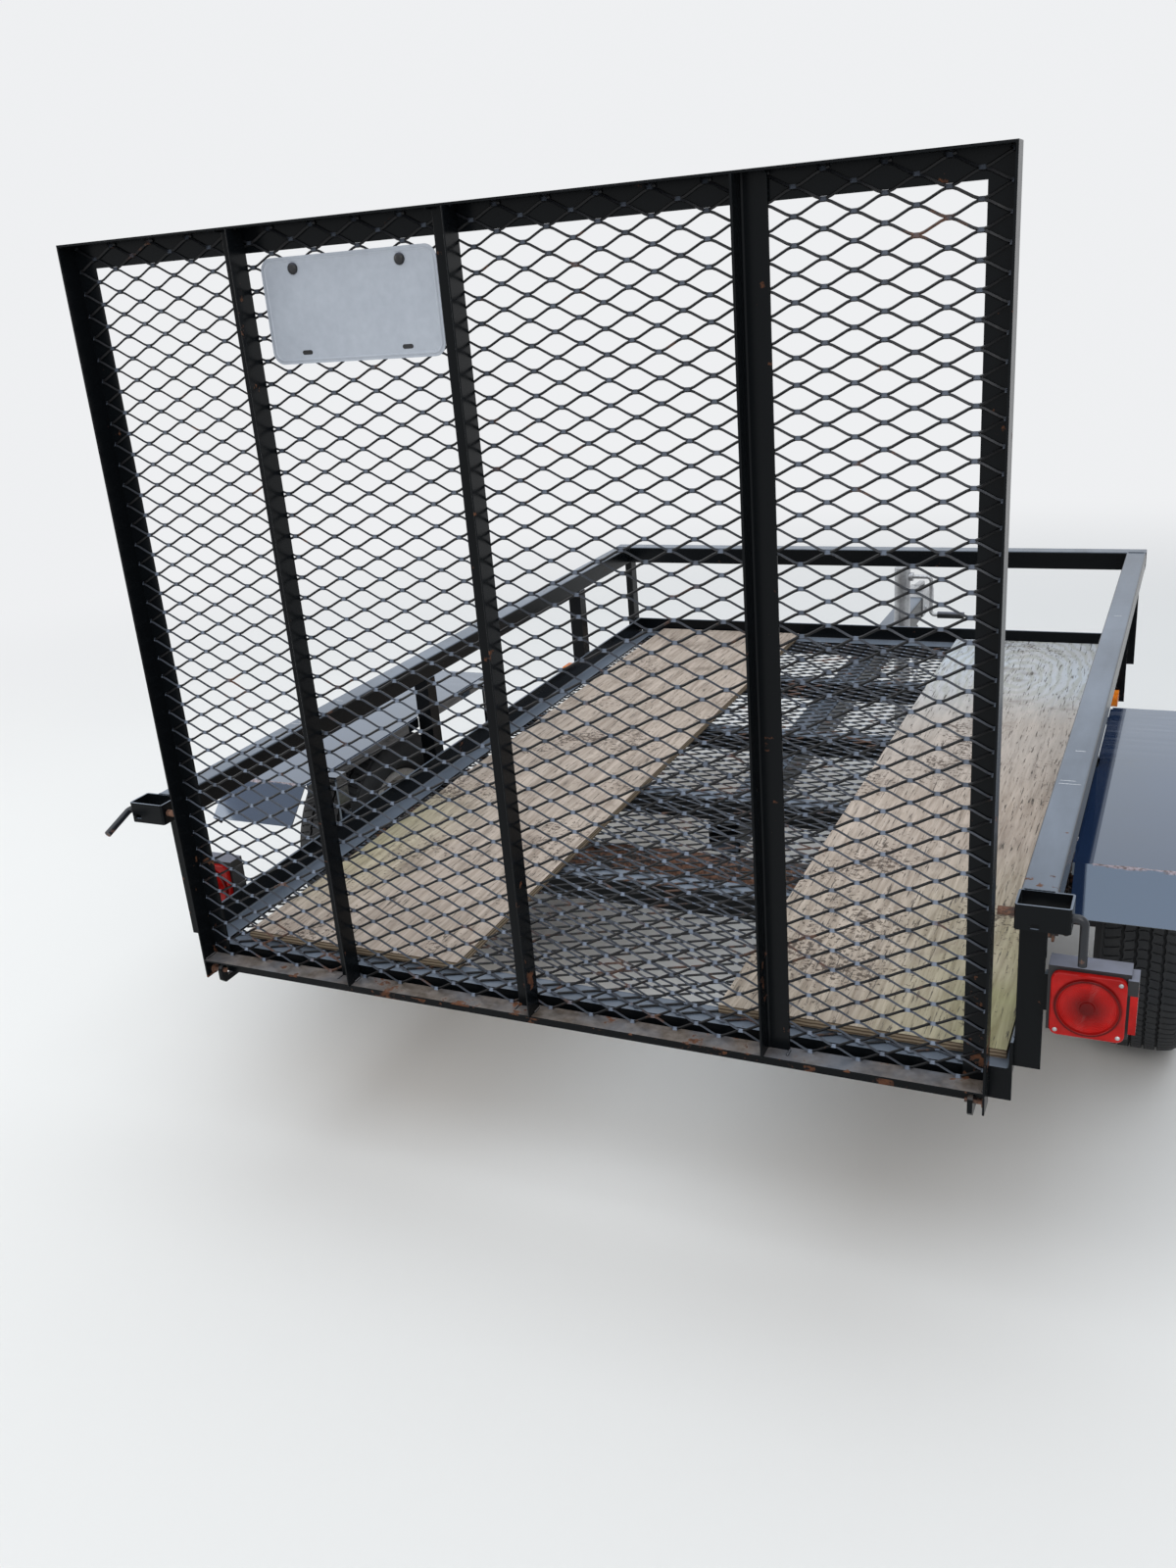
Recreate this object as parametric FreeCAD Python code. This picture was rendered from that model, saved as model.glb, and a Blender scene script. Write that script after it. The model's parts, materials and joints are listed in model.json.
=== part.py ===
import FreeCAD, Part
import math
import os

V = FreeCAD.Vector
RIGHT = V(1, 0, 0)
AHEAD = V(0, 1, 0)
UP = V(0, 0, 1)
LEFT = V(-1, 0, 0)
BACK = V(0, -1, 0)
DOWN = V(0, 0, -1)

# Open utility trailer, sizes in millimetres
# X to the right, Y towards the coupler, Z up from the ground
# While building, Y is measured from the rear face of the frame

# Frame
BED_HALF = 762.0
BED_LENGTH = 2286.0
CROSS_TOP = 410.0
RAIL_LEG = 50.8
RAIL_WALL = 4.8
FLOOR_PITCH = 457.2
TOP_RAIL_TOP = 711.0
POST_LEG = 38.1
POST_WALL = 3.2
FLOOR_SHEET = RAIL_WALL

# Expanded metal, long way across the trailer
DIAMOND_LONG = 76.2
DIAMOND_SHORT = 33.87
STRAND = 4.2
SHEET_BORDER = 4.0
FLOOR_COARSE = 2.0

# Gate
GATE_GAP = 8.0
GATE_HALF = 730.0
GATE_BOTTOM = CROSS_TOP - 16.0
GATE_HEIGHT = 1280.0
GATE_LEG = 38.1
GATE_WALL = 3.2
GATE_SHEET = 3.2
HINGE_X = 707.0
HINGE_Y = -25.0
HINGE_Z = GATE_BOTTOM - 28.0
HINGE_PIN = 4.5
HINGE_EYE = 8.5
HOOK_WIDTH = 8.0

# Wheels
TYRE_RADIUS = 262.5
TYRE_HALF = 87.5
RIM_SEAT = 152.4
WHEEL_X = 917.0
WHEEL_Y = 860.0
LUG_COUNT = 5
LUG_CIRCLE = 57.15
SPINDLE = 17.0
BORE_GAP = 0.3

# Springs and axle
BEAM = 50.8
SPRING_X = 737.0
SPRING_HALF = 292.0
SPRING_SAG = 35.0
LEAF = 7.0
LEAF_WIDTH = 44.5
SEAT = 6.0

# Fenders
FENDER_IN = 802.0
FENDER_OUT = 1017.0
FENDER_TOP = 564.0
FENDER_HALF = 426.0
FENDER_SLOPE = 71.0
FENDER_SHEET = 2.0
FENDER_SKIRT = 45.0

# Tongue, coupler and jack
TONGUE = 76.2
TONGUE_WALL = 4.8
TONGUE_TOP = CROSS_TOP - RAIL_LEG
TONGUE_FRONT = 3240.0
BALL_RADIUS = 25.4
BALL_Y = 3285.0
BALL_Z = TONGUE_TOP - 50.0
NOSE_RADIUS = 36.0
JACK_Y = 2543.0
JACK_RADIUS = 25.4
JACK_PLATE = 6.0
JACK_X = TONGUE / 2 + JACK_PLATE + JACK_RADIUS
JACK_TOP = 588.0
CHAIN_Y = 3010.0
CHAIN_WIRE = 6.0

# Latches
LATCH_X0 = 760.0
LATCH_X1 = 836.2
LATCH_Y0 = -43.0
LATCH_Y1 = 8.0
LATCH_HEIGHT = 39.0
LATCH_PIN = 6.35
LATCH_PIN_Y = -27.0
LATCH_PIN_Z = TOP_RAIL_TOP - 20.0
LATCH_HANDLE = 72.0
LATCH_TURN = 70.0

# Lamps
LAMP_IN = 806.0
LAMP_SIZE = 101.6
LAMP_Z = 546.0
LAMP_Y = -20.0
LEFT_LAMP_IN = 765.0
LEFT_LAMP_Y = 100.0
LEFT_LAMP_Z = 467.0
MARKER_Y = 1750.0

TURN_C = math.cos(math.radians(LATCH_TURN))
TURN_S = math.sin(math.radians(LATCH_TURN))
Y_REAR = LATCH_PIN_Y - LATCH_HANDLE * TURN_S - LATCH_PIN * TURN_C
Y_FRONT = BALL_Y + NOSE_RADIUS
SHIFT = V(0, -(Y_REAR + Y_FRONT) / 2, 0)

TOP_RAIL_OUT = BED_HALF + RAIL_LEG
TOP_RAIL_WALL = 3.2
TOP_RAIL_UNDER = TOP_RAIL_TOP - RAIL_LEG
C45 = math.cos(math.radians(45))


def save(name, solids):
    shapes = [s.copy() for s in solids]
    for shape in shapes:
        shape.translate(SHIFT)
    shape = shapes[0] if len(shapes) == 1 else Part.makeCompound(shapes)
    shape.exportStep("parts/" + name + ".step")


def mirrored(shape):
    return shape.mirror(V(0, 0, 0), RIGHT)


def one(shape):
    shape = shape.removeSplitter()
    return max(shape.Solids, key=lambda s: s.Volume)


def fuse(shapes):
    shape = shapes[0].fuse(shapes[1:]) if len(shapes) > 1 else shapes[0]
    return one(shape)


def box(x0, x1, y0, y1, z0, z1):
    return Part.makeBox(x1 - x0, y1 - y0, z1 - z0, V(x0, y0, z0))


def rod(start, end, radius):
    axis = end - start
    return Part.makeCylinder(radius, axis.Length, start, axis)


def bent_rod(points, radius, bend):
    # round rod through the points, each inner corner an arc of the bend radius
    pieces = []
    start = points[0]
    for before, corner, after in zip(points, points[1:], points[2:]):
        into = V(corner - before).normalize()
        out = V(after - corner).normalize()
        turn = math.degrees(into.getAngle(out))
        trim = bend * math.tan(math.radians(turn / 2))
        near = corner - into * trim
        axis = into.cross(out).normalize()
        disc = Part.Face(Part.Wire(Part.makeCircle(radius, near, into)))
        pieces.append(rod(start, near, radius))
        pieces.append(disc.revolve(near + axis.cross(into) * bend, axis, turn))
        start = corner + out * trim
    pieces.append(rod(start, points[-1], radius))
    return fuse(pieces)


def prism(points, along):
    wire = Part.makePolygon(points + [points[0]])
    return Part.Face(wire).extrude(along)


def sharp_bar(heel, leg_a, leg_b, along, leg, wall):
    flat = ((0, 0), (leg, 0), (leg, wall), (wall, wall), (wall, leg), (0, leg))
    return prism([heel + leg_a * a + leg_b * b for a, b in flat], along)


def angle_bar(heel, leg_a, leg_b, along, leg, wall):
    root = wall
    toe = wall / 2

    def p(a, b):
        return heel + leg_a * a + leg_b * b

    far = leg - toe
    in_toe = wall - toe
    near = wall + root
    k = toe * C45
    m = root * C45
    edges = [
        Part.makeLine(p(0, 0), p(leg, 0)),
        Part.makeLine(p(leg, 0), p(leg, in_toe)),
        Part.Arc(p(leg, in_toe), p(far + k, in_toe + k), p(far, wall)).toShape(),
        Part.makeLine(p(far, wall), p(near, wall)),
        Part.Arc(p(near, wall), p(near - m, near - m), p(wall, near)).toShape(),
        Part.makeLine(p(wall, near), p(wall, far)),
        Part.Arc(p(wall, far), p(in_toe + k, far + k), p(in_toe, leg)).toShape(),
        Part.makeLine(p(in_toe, leg), p(0, leg)),
        Part.makeLine(p(0, leg), p(0, 0)),
    ]
    return Part.Face(Part.Wire(edges)).extrude(along)


def round_rect(centre, u, v, width, height, radius):
    a = width / 2
    b = height / 2
    r = radius
    k = r - r * C45

    def p(x, y):
        return centre + u * x + v * y

    edges = [
        Part.makeLine(p(-a + r, -b), p(a - r, -b)),
        Part.Arc(p(a - r, -b), p(a - k, -b + k), p(a, -b + r)).toShape(),
        Part.makeLine(p(a, -b + r), p(a, b - r)),
        Part.Arc(p(a, b - r), p(a - k, b - k), p(a - r, b)).toShape(),
        Part.makeLine(p(a - r, b), p(-a + r, b)),
        Part.Arc(p(-a + r, b), p(-a + k, b - k), p(-a, b - r)).toShape(),
        Part.makeLine(p(-a, b - r), p(-a, -b + r)),
        Part.Arc(p(-a, -b + r), p(-a + k, -b + k), p(-a + r, -b)).toShape(),
    ]
    return Part.Wire(edges)


def round_block(centre, u, v, width, height, radius, along):
    return Part.Face(round_rect(centre, u, v, width, height, radius)).extrude(along)


def tube(centre, u, v, width, height, wall, along):
    outer = round_block(centre, u, v, width, height, wall * 1.5, along)
    inner = round_block(centre, u, v, width - 2 * wall, height - 2 * wall, wall * 0.5, along)
    return one(outer.cut(inner))


def turned(profile, centre, axis, side):
    # profile of (distance along the axis, radius)
    points = [centre + axis * a + side * r for a, r in profile]
    wire = Part.makePolygon(points + [points[0]])
    return Part.Face(wire).revolve(centre, axis, 360)


def hexagon(centre, axis, side, radius, height):
    other = axis.cross(side)
    points = []
    for k in range(6):
        t = math.radians(60 * k)
        points.append(centre + side * (radius * math.cos(t)) + other * (radius * math.sin(t)))
    return prism(points, axis * height)


def clip(points, inside, cross):
    kept = []
    for i, p in enumerate(points):
        q = points[i - 1]
        if inside(p) != inside(q):
            kept.append(cross(q, p))
        if inside(p):
            kept.append(p)
    return kept


def clip_to(points, u0, u1, w0, w1):
    limits = ((0, u0, 1), (0, u1, -1), (1, w0, 1), (1, w1, -1))
    for axis, limit, sign in limits:
        def inside(p):
            return sign * (p[axis] - limit) >= 0

        def cross(q, p):
            t = (limit - q[axis]) / (p[axis] - q[axis])
            return tuple(q[k] + t * (p[k] - q[k]) for k in (0, 1))

        points = clip(points, inside, cross)
        if len(points) < 3:
            return []
    return points


def area(points):
    total = 0.0
    for i, p in enumerate(points):
        q = points[i - 1]
        total += q[0] * p[1] - p[0] * q[1]
    return abs(total) / 2


def expanded_sheet(u0, u1, length, corner, along, thickness, scale=1.0):
    # diamonds in one panel from u0 to u1 across, running from corner in the direction along
    half_long = scale * DIAMOND_LONG / 2
    half_short = scale * DIAMOND_SHORT / 2
    slant = math.hypot(half_long, half_short)
    shrink = 1 - scale * STRAND / 2 * slant / (half_long * half_short)
    reach_u = half_long * shrink
    reach_w = half_short * shrink
    edge_w = length - SHEET_BORDER

    def p(u, w):
        return corner + RIGHT * u + along * w

    wires = [Part.makePolygon([p(u0, 0), p(u1, 0), p(u1, length), p(u0, length), p(u0, 0)])]
    for row in range(int(length / half_short) + 2):
        for column in range(int(u0 / half_long) - 2, int(u1 / half_long) + 3):
            if (row + column) % 2:
                continue
            u = column * half_long
            w = row * half_short
            hole = [(u + reach_u, w), (u, w + reach_w), (u - reach_u, w), (u, w - reach_w)]
            hole = clip_to(hole, u0 + SHEET_BORDER, u1 - SHEET_BORDER, SHEET_BORDER, edge_w)
            if len(hole) < 3 or area(hole) < 30:
                continue
            ring = [p(a, b) for a, b in hole]
            wires.append(Part.makePolygon(ring + [ring[0]]))
    return Part.Face(wires).extrude(thickness)


# Lower frame: three floor angles with the upright leg outside, on angle crossmembers

def build_frame():
    length = AHEAD * BED_LENGTH
    rail = angle_bar(V(BED_HALF, 0, CROSS_TOP), LEFT, UP, length, RAIL_LEG, RAIL_WALL)
    save("rail_right", [rail])
    save("rail_left", [mirrored(rail)])
    inner = BED_HALF - RAIL_WALL
    across = RIGHT * (2 * inner)
    heel = V(-inner, BED_LENGTH, CROSS_TOP)
    front = angle_bar(heel, BACK, UP, across, RAIL_LEG, RAIL_WALL)
    # coped round the side angles' flat leg and root
    toe = BED_HALF - RAIL_LEG
    root = inner - RAIL_WALL
    notch = box(toe, inner, BED_LENGTH - RAIL_LEG, BED_LENGTH, CROSS_TOP, CROSS_TOP + RAIL_WALL)
    cope = box(root, inner, BED_LENGTH - RAIL_LEG, BED_LENGTH, CROSS_TOP, CROSS_TOP + 2 * RAIL_WALL)
    for cut in (notch, cope):
        front = front.cut([cut, mirrored(cut)])
    save("rail_front", [one(front)])
    width = RIGHT * (2 * BED_HALF)
    rear = angle_bar(V(-BED_HALF, 0, CROSS_TOP), AHEAD, DOWN, width, RAIL_LEG, RAIL_WALL)
    save("crossmember_rear", [rear])
    heel = V(-BED_HALF, BED_LENGTH, CROSS_TOP)
    save("crossmember_front", [angle_bar(heel, BACK, DOWN, width, RAIL_LEG, RAIL_WALL)])
    middle = []
    for k in range(1, 5):
        heel = V(-BED_HALF, k * FLOOR_PITCH, CROSS_TOP)
        middle.append(angle_bar(heel, AHEAD, DOWN, width, RAIL_LEG, RAIL_WALL))
    save("floor_crossmembers", middle)
    half = BED_HALF - RAIL_LEG - 1
    sheets = []
    for k in range(5):
        start = 6.0 if k == 0 else k * FLOOR_PITCH + RAIL_LEG / 2
        end = (k + 1) * FLOOR_PITCH + RAIL_LEG / 2 - 1 if k < 4 else BED_LENGTH - RAIL_LEG - 1
        corner = V(0, start, CROSS_TOP)
        thickness = UP * FLOOR_SHEET
        panel = expanded_sheet(-half, half, end - start, corner, AHEAD, thickness, FLOOR_COARSE)
        sheets.append(panel)
    save("floor_mesh", sheets)


# Loose plywood strips laid lengthwise on the floor

def build_boards():
    floor = CROSS_TOP + FLOOR_SHEET
    thick = 15.0
    # name, left edge, right edge, rear end, front end
    boards = (
        ("deck_board_left", -670, -205, 28, 2272),
        ("deck_board_right", 292, 750, 26, 2276),
    )
    for name, x0, x1, y0, y1 in boards:
        save(name, [box(x0, x1, y0, y1, floor, floor + thick)])


# Posts outside the lip, under the square tube top rails

def build_posts():
    front = BED_LENGTH - RAIL_WALL
    # heel y, bottom z, direction of the lengthwise leg
    posts = (
        (LATCH_Y1 + 6, CROSS_TOP + 3, AHEAD),
        (2 * FLOOR_PITCH, CROSS_TOP - 8, AHEAD),
        (4 * FLOOR_PITCH, CROSS_TOP - 8, AHEAD),
        (front, CROSS_TOP - 38, BACK),
    )
    right = []
    for y, z, direction in posts:
        heel = V(BED_HALF, y, z)
        along = UP * (TOP_RAIL_UNDER - z)
        right.append(angle_bar(heel, RIGHT, direction, along, POST_LEG, POST_WALL))
    save("posts_right", right)
    save("posts_left", [mirrored(s) for s in right])


def build_top_rails():
    middle_z = TOP_RAIL_TOP - RAIL_LEG / 2
    front = BED_LENGTH - RAIL_LEG
    start = V(BED_HALF + RAIL_LEG / 2, LATCH_Y1, middle_z)
    length = AHEAD * (front - LATCH_Y1)
    side = tube(start, RIGHT, UP, RAIL_LEG, RAIL_LEG, TOP_RAIL_WALL, length)
    save("top_rail_right", [side])
    save("top_rail_left", [mirrored(side)])
    start = V(-TOP_RAIL_OUT, front + RAIL_LEG / 2, middle_z)
    across = RIGHT * (2 * TOP_RAIL_OUT)
    save("top_rail_front", [tube(start, AHEAD, UP, RAIL_LEG, RAIL_LEG, TOP_RAIL_WALL, across)])


# Latches: an upright piece of tube, a sliding pin and its bent handle

def build_latches():
    width = LATCH_X1 - LATCH_X0
    depth = LATCH_Y1 - LATCH_Y0
    centre = V(LATCH_X0 + width / 2, LATCH_Y0 + depth / 2, TOP_RAIL_TOP - LATCH_HEIGHT)
    sleeve = tube(centre, RIGHT, AHEAD, width, depth, POST_WALL, UP * LATCH_HEIGHT)
    inner = V(GATE_HALF + 6, LATCH_PIN_Y, LATCH_PIN_Z)
    outer = V(LATCH_X1 + 16, LATCH_PIN_Y, LATCH_PIN_Z)
    hole = rod(inner, outer, LATCH_PIN + BORE_GAP)
    wall = LATCH_Y0 + POST_WALL + 1
    # side, slot centre x and z
    slots = ((1, 788, 679), (-1, 820, 684))
    for sign, x, z in slots:
        slot = box(x - 6, x + 6, LATCH_Y0 - 1, wall, z - 4, z + 4)
        bracket = one(sleeve.cut(hole).cut(slot))
        if sign > 0:
            save("latch_bracket_right", [bracket])
        else:
            save("latch_bracket_left", [mirrored(bracket)])
    pin = bent_rod([inner, outer, outer + DOWN * LATCH_HANDLE], LATCH_PIN, 10)
    save("latch_pin_right", [pin])
    # the left handle has swung up towards the rear
    pin = mirrored(pin)
    pin.rotate(outer, LEFT, LATCH_TURN)
    save("latch_pin_left", [pin])


# Gate

def build_gate():
    front = -GATE_GAP
    top = GATE_BOTTOM + GATE_HEIGHT
    low = GATE_BOTTOM - GATE_LEG
    side = sharp_bar(V(GATE_HALF, front, low), LEFT, BACK, UP * (top - low), GATE_LEG, GATE_WALL)
    across = RIGHT * (2 * GATE_HALF)
    upper = sharp_bar(V(-GATE_HALF, front, top), DOWN, BACK, across, GATE_LEG, GATE_WALL)
    lower = sharp_bar(V(-GATE_HALF, front, GATE_BOTTOM), DOWN, BACK, across, GATE_LEG, GATE_WALL)
    save("gate_frame", [fuse([side, mirrored(side), upper, lower])])
    rear = front - GATE_WALL - GATE_SHEET
    foot = GATE_BOTTOM
    head = top - GATE_WALL
    # heel x, direction of the flat leg
    bars = ((-390, LEFT), (-22, LEFT), (387, RIGHT))
    shapes = []
    for x, flat in bars:
        heel = V(x, rear, foot)
        shapes.append(angle_bar(heel, flat, BACK, UP * (head - foot), GATE_LEG, GATE_WALL))
    save("gate_bars", shapes)
    edge = GATE_HALF - GATE_WALL - 3
    corner = V(0, front - GATE_WALL, foot)
    stops = (-edge, -410, -41, 410, edge)
    panels = []
    for u0, u1 in zip(stops, stops[1:]):
        u1 = u1 if u1 == edge else u1 - 1
        panels.append(expanded_sheet(u0, u1, head - foot, corner, UP, BACK * GATE_SHEET))
    save("gate_mesh", panels)
    # gate pins behind the lower angle, held by hooks from the rear crossmember
    side_in = GATE_HALF - GATE_WALL
    inner = V(HINGE_X - HOOK_WIDTH / 2 - 5, HINGE_Y, HINGE_Z)
    outer = V(side_in, HINGE_Y, HINGE_Z)
    pin = fuse([rod(inner, outer, HINGE_PIN), rod(outer + LEFT * 3, outer, 2 * HINGE_PIN)])
    save("gate_hinge_pins", [pin, mirrored(pin)])
    left = HINGE_X - HOOK_WIDTH / 2
    across = RIGHT * HOOK_WIDTH
    under = GATE_BOTTOM - GATE_LEG - 6
    low = under - 11
    rear = HINGE_Y - HINGE_EYE
    front_y = HINGE_Y + HINGE_EYE
    hook = [
        (rear, HINGE_Z),
        (rear, low + 8),
        (rear + 8, low),
        (RAIL_WALL + 16, low),
        (RAIL_WALL + 22, low + 6),
        (RAIL_WALL + 22, CROSS_TOP - 25),
        (RAIL_WALL, CROSS_TOP - 25),
        (RAIL_WALL, under),
        (front_y, under),
        (front_y, HINGE_Z),
    ]
    hook = prism([V(left, y, z) for y, z in hook], across)
    eye = V(left, HINGE_Y, HINGE_Z)
    hook = fuse([hook, rod(eye, eye + across, HINGE_EYE)])
    hook = one(hook.cut(rod(eye + LEFT, eye + across + RIGHT, HINGE_PIN + BORE_GAP)))
    save("hinge_ears", [hook, mirrored(hook)])
    rear = front - GATE_WALL - GATE_SHEET
    plate_x = -22 - GATE_LEG - 1 - 152.4
    plate_z = top - 124
    centre = V(plate_x, rear, plate_z)
    plate = round_block(centre, RIGHT, UP, 304.8, 152.4, 19, BACK * 1.5)
    save("licence_plate", [plate])


# Wheels: tyre, pressed steel rim and hub on each side

def build_wheels():
    centre = V(WHEEL_X, WHEEL_Y, TYRE_RADIUS)
    r = TYRE_RADIUS
    h = TYRE_HALF
    half = [
        (54, RIM_SEAT),
        (54, 168),
        (70, 178),
        (83, 195),
        (h, 212),
        (85, 232),
        (77, 249),
        (66, 257),
        (54, r - 1.2),
        (41, r - 0.6),
    ]
    groove = 7.0
    tread = []
    for x in (30, 0, -30):
        tread += [(x + 4, r), (x + 3, r - groove), (x - 3, r - groove), (x - 4, r)]
    profile = half + tread + [(-a, b) for a, b in reversed(half)]
    tyre = turned(profile, centre, RIGHT, UP)
    save("tyre_right", [tyre])
    save("tyre_left", [mirrored(tyre)])

    seat = RIM_SEAT
    sheet = 3.0
    outer = [(-58, 166), (-54, 166), (-54, seat), (-34, seat), (-28, 136), (10, 136), (16, seat)]
    outer += [(54, seat), (54, 166), (58, 166), (58, seat - sheet), (18, seat - sheet)]
    outer += [(12, 136 - sheet), (-30, 136 - sheet), (-36, seat - sheet), (-58, seat - sheet)]
    rim = turned(outer, centre, RIGHT, UP)
    disc = [(0, 36), (0, 78), (14, 92), (14, 112), (4, 126), (4, 134.5), (9, 134.5), (9, 127)]
    disc += [(18, 113), (18, 90), (4, 76), (4, 36)]
    disc = turned(disc, centre, RIGHT, UP)
    rim = rim.fuse(disc)
    cuts = []
    for k in range(8):
        t = math.radians(45 * k + 22.5)
        spot = centre + AHEAD * (102 * math.cos(t)) + UP * (102 * math.sin(t))
        cuts.append(rod(spot, spot + RIGHT * 30, 8))
    lugs = []
    for k in range(LUG_COUNT):
        t = math.radians(90 + 360.0 / LUG_COUNT * k)
        lugs.append(centre + AHEAD * (LUG_CIRCLE * math.cos(t)) + UP * (LUG_CIRCLE * math.sin(t)))
    for spot in lugs:
        cuts.append(rod(spot + LEFT * 5, spot + RIGHT * 30, 6.6))
    rim = one(rim.cut(cuts))
    save("rim_right", [rim])
    save("rim_left", [mirrored(rim)])

    bore = SPINDLE + BORE_GAP
    hub = [(-46, bore), (-46, 36), (-12, 38), (-12, 72), (0, 72), (0, 35.5), (28, 33), (30, 30)]
    hub += [(44, 30), (50, 26), (53, 16), (54, 0), (50, 0), (50, 14), (44, 24), (34, 24), (34, bore)]
    pieces = [turned(hub, centre, RIGHT, UP)]
    for spot in lugs:
        pieces.append(rod(spot + LEFT * 6, spot + RIGHT * 24, 6.35))
        pieces.append(hexagon(spot + RIGHT * 4, RIGHT, UP, 11, 13))
    hub = fuse(pieces)
    save("hub_right", [hub])
    save("hub_left", [mirrored(hub)])


# Axle and leaf springs

def build_axle():
    end = WHEEL_X - 49
    centre = V(0, WHEEL_Y, TYRE_RADIUS)
    beam = round_block(centre + LEFT * end, AHEAD, UP, BEAM, BEAM, 6, RIGHT * (2 * end))
    tips = [beam]
    for sign in (1, -1):
        out = RIGHT * sign
        root = centre + out * (end - 4)
        tips.append(rod(root, centre + out * (WHEEL_X + 42), SPINDLE))
    save("axle", [fuse(tips)])

    beam_top = TYRE_RADIUS + BEAM / 2
    base = beam_top + SEAT
    leaves = 3
    main_low = base + LEAF * (leaves - 1)
    radius = (SPRING_HALF ** 2 + SPRING_SAG ** 2) / (2 * SPRING_SAG)
    hub_z = main_low + LEAF + radius
    x0 = SPRING_X - LEAF_WIDTH / 2

    def arc_leaf(top_radius, half):
        low_radius = top_radius + LEAF

        def p(r, y):
            return V(x0, WHEEL_Y + y, hub_z - math.sqrt(r * r - y * y))

        edges = [
            Part.Arc(p(top_radius, -half), p(top_radius, 0), p(top_radius, half)).toShape(),
            Part.makeLine(p(top_radius, half), p(low_radius, half)),
            Part.Arc(p(low_radius, half), p(low_radius, 0), p(low_radius, -half)).toShape(),
            Part.makeLine(p(low_radius, -half), p(top_radius, -half)),
        ]
        return Part.Face(Part.Wire(edges)).extrude(RIGHT * LEAF_WIDTH)

    pieces = []
    for k, half in enumerate((SPRING_HALF, 225.0, 150.0)):
        pieces.append(arc_leaf(radius + k * LEAF, half))
    eye_z = main_low + LEAF + SPRING_SAG + 11
    eyes = []
    holes = []
    for sign in (1, -1):
        spot = V(x0, WHEEL_Y + sign * SPRING_HALF, eye_z)
        eyes.append(rod(spot, spot + RIGHT * LEAF_WIDTH, 15))
        holes.append(rod(spot, spot + RIGHT * LEAF_WIDTH, 8.2))
    spring = pieces[0].fuse(pieces[1:] + eyes)
    for hole in holes:
        spring = spring.cut(hole)
    spring = one(spring)
    save("leaf_spring_right", [spring])
    save("leaf_spring_left", [mirrored(spring)])

    # hangers under the floor rail, with the bolt through each spring eye
    half = LEAF_WIDTH / 2 + 1
    hangers = []
    for sign in (1, -1):
        y = WHEEL_Y + sign * SPRING_HALF
        pieces = [box(SPRING_X - half - 5, SPRING_X + half + 5, y - 22, y + 22, 405, CROSS_TOP)]
        for x in (SPRING_X - half - 5, SPRING_X + half):
            cheek = [V(x, y - 22, 406), V(x, y + 22, 406), V(x, y + 16, eye_z - 18), V(x, y - 16, eye_z - 18)]
            pieces.append(prism(cheek, RIGHT * 5))
        left_end = V(SPRING_X - half - 15, y, eye_z)
        right_end = V(SPRING_X + half + 15, y, eye_z)
        pieces.append(rod(left_end, right_end, 7.9))
        pieces.append(hexagon(left_end + RIGHT * 2, RIGHT, UP, 13, 8))
        pieces.append(hexagon(right_end + LEFT * 12, RIGHT, UP, 13, 8))
        hangers.append(fuse(pieces))
    save("spring_hangers", hangers + [mirrored(s) for s in hangers])

    # spring seat, clamp plate under the beam and two U bolts over the spring
    x_in = SPRING_X - LEAF_WIDTH / 2
    x_out = SPRING_X + LEAF_WIDTH / 2
    low = TYRE_RADIUS - BEAM / 2
    over = main_low + LEAF
    pieces = [box(x_in, x_out, WHEEL_Y - 40, WHEEL_Y + 40, beam_top, base)]
    pieces.append(box(x_in - 16, x_out + 16, WHEEL_Y - 44, WHEEL_Y + 44, low - 8, low))
    bolt = 5.5
    for y in (WHEEL_Y - BEAM / 2 - 8, WHEEL_Y + BEAM / 2 + 8):
        for x in (x_in - bolt - 0.5, x_out + bolt + 0.5):
            pieces.append(rod(V(x, y, low - 20), V(x, y, over + bolt + 2), bolt))
            pieces.append(hexagon(V(x, y, low - 17), UP, RIGHT, 9.5, 9))
        z = over + bolt + 2
        pieces.append(rod(V(x_in - bolt - 0.5, y, z), V(x_out + bolt + 0.5, y, z), bolt))
        for x in (x_in - bolt - 0.5, x_out + bolt + 0.5):
            pieces.append(Part.makeSphere(bolt, V(x, y, z)))
    plate = box(x_in, x_out, WHEEL_Y - 40, WHEEL_Y + 40, over + 0.9, over + 5)
    pieces.append(plate)
    clamp = fuse(pieces[1:])
    save("spring_clamps", [clamp, mirrored(clamp)])
    save("spring_seats", [pieces[0], mirrored(pieces[0])])


# Fenders of folded sheet with a turned-down outer skirt

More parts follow.
